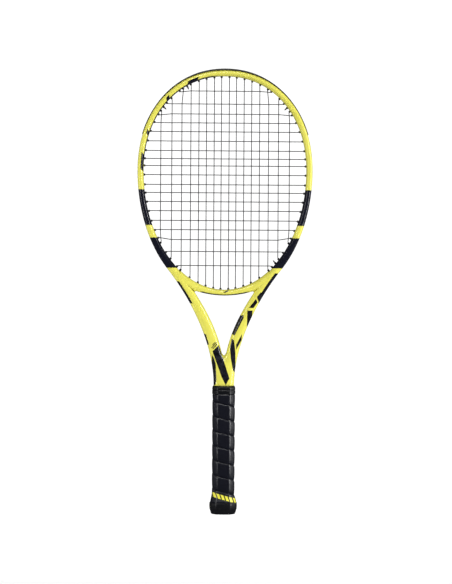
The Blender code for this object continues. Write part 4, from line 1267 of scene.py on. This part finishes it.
# %% [markdown]
# ## Grip and rubber finishes
#
# The tape is soft polyurethane, matt and nearly black, with fine pores and a slightly shiny skin where the
# crown of each turn is handled. A row of plain yellow slanted blocks is printed on its lowest turn. The
# collar and the cap are duller and a shade greyer.

# %% Grip finish


def printed_blocks(tape):
    """Slanted blocks in a row on the front face, between two lines that fall towards +X."""
    height = tape.z + tape.x * 0.27
    band = height.between(0.0228, 0.0296, 0.00025)
    share = ((tape.x + tape.z * 0.35) / 0.0058 + 20.0).part()
    front = tape.y.below(-0.0080, 0.0004)
    return band & share.between(0.12, 0.80, 0.04) & front


def make_grip_finish():
    tape = Finish("grip_tape", Specular_IOR_Level=0.55)
    pores, grain = tape.noise(1500.0, 3.0, 0.6), tape.noise(420.0, 4.0, 0.6)
    cloud = tape.noise(35.0, 3.0)
    dots = tape.node("TexVoronoi", None, "Distance", Vector=tape.place, Scale=620.0)
    dimple = dots.below(0.34, 0.10)
    skin = tape.blend(cloud, (0.0022, 0.0025, 0.0060), (0.0044, 0.0050, 0.0110))
    skin = tape.blend(grain.above(0.62, 0.06) * 0.25, skin, (0.010, 0.011, 0.016))
    marks = printed_blocks(tape) & pores.above(0.28, 0.05)
    tape.set("Base Color", tape.blend(marks, skin, (0.78, 0.73, 0.06)))
    tape.set("Roughness", 0.24 + grain * 0.12 + pores * 0.05)
    creases = tape.noise(240.0, 3.0, 0.55)
    normal = tape.bump(creases, 0.00022, 0.5)
    tape.set("Normal", tape.bump(pores * 0.7 - dimple * 0.5, 0.00010, 0.6, normal))
    return tape


def make_rubber(name, dark, light, rough):
    rubber = Finish(name, Specular_IOR_Level=0.32)
    grain, cloud = rubber.noise(1800.0, 2.0), rubber.noise(50.0, 4.0)
    dust = rubber.noise(260.0, 5.0, 0.7).above(0.62, 0.05)
    shade = rubber.blend(cloud, dark, light)
    rubber.set("Base Color", rubber.blend(dust * 0.25, shade, (0.035, 0.035, 0.038)))
    rubber.set("Roughness", rough + grain * 0.15 + dust * 0.10)
    rubber.set("Normal", rubber.bump(grain, 0.00008, 0.6))
    return rubber


GRIP_FINISH = make_grip_finish()
COLLAR_RUBBER = make_rubber("collar_rubber", (0.0018, 0.0020, 0.0032), (0.0040, 0.0043, 0.0064), 0.28)
CAP_NYLON = make_rubber("cap_nylon", (0.0026, 0.0028, 0.0040), (0.0056, 0.0058, 0.0080), 0.28)
GRIP_FINISH.on(GRIP)
COLLAR_RUBBER.on(COLLAR)
CAP_NYLON.on(CAP)
CAP_NYLON.on(DOOR)
print("handle finished")

# %% [markdown]
# ## Hidden pieces
#
# The foam pallets, plugs, finishing tape, staples and balance weight keep the working model's own shapes.
# They only need finishes: foam with open cells, thin woven tape, drawn steel wire and dull cast metal.

# %% Finishes for the hidden pieces


def make_foam():
    foam = Finish("pallet_foam")
    cells = foam.node("TexVoronoi", None, "Distance", Vector=foam.place, Scale=900.0)
    cloud = foam.noise(70.0, 4.0)
    cream = foam.blend(cloud, (0.50, 0.47, 0.37), (0.66, 0.63, 0.52))
    foam.set("Base Color", foam.blend(cells.below(0.25, 0.1), cream, (0.36, 0.33, 0.25)))
    foam.set("Roughness", 0.80 + cells * 0.15)
    foam.set("Normal", foam.bump(cells, 0.0003, 0.7))
    return foam


def make_tape():
    tape = Finish("finishing_tape_cloth")
    weave = (tape.z * 9000.0).wave() * (tape.x * 9000.0).wave() * (tape.y * 9000.0).wave()
    tape.set("Base Color", tape.blend(weave * 0.5 + 0.5, (0.010, 0.010, 0.012), (0.040, 0.040, 0.045)))
    tape.set("Roughness", 0.55 + weave * 0.15)
    tape.set("Normal", tape.bump(weave, 0.00005, 0.5))
    return tape


def make_metal(name, dark, light, rough, streaks):
    metal = Finish(name, Metallic=1.0)
    drawn = metal.noise(500.0, 3.0, 0.6) * (metal.x * streaks).wave() * 0.5 + 0.5
    spots = metal.noise(380.0, 5.0, 0.7).above(0.60, 0.06)
    metal.set("Base Color", metal.blend(spots, metal.blend(drawn, dark, light), dark))
    metal.set("Roughness", rough + spots * 0.20 + drawn * 0.08)
    metal.set("Normal", metal.bump(drawn, 0.00003, 0.5))
    return metal


FOAM, CLOTH = make_foam(), make_tape()
STEEL = make_metal("staple_steel_wire", (0.42, 0.42, 0.43), (0.66, 0.66, 0.68), 0.26, 7000.0)
LEAD = make_metal("cast_weight", (0.20, 0.21, 0.23), (0.36, 0.37, 0.39), 0.48, 900.0)
HIDDEN = {"handle_pallet_front": FOAM, "handle_pallet_back": FOAM, "foam_plug_left": FOAM,
          "foam_plug_right": FOAM, "finishing_tape": CLOTH, "balance_weight": LEAD}
HIDDEN.update({f"butt_cap_staple_{k}": STEEL for k in (1, 2, 3, 4)})
for node, finish in HIDDEN.items():
    finish.on(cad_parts[node])
print("hidden pieces finished:", len(HIDDEN))
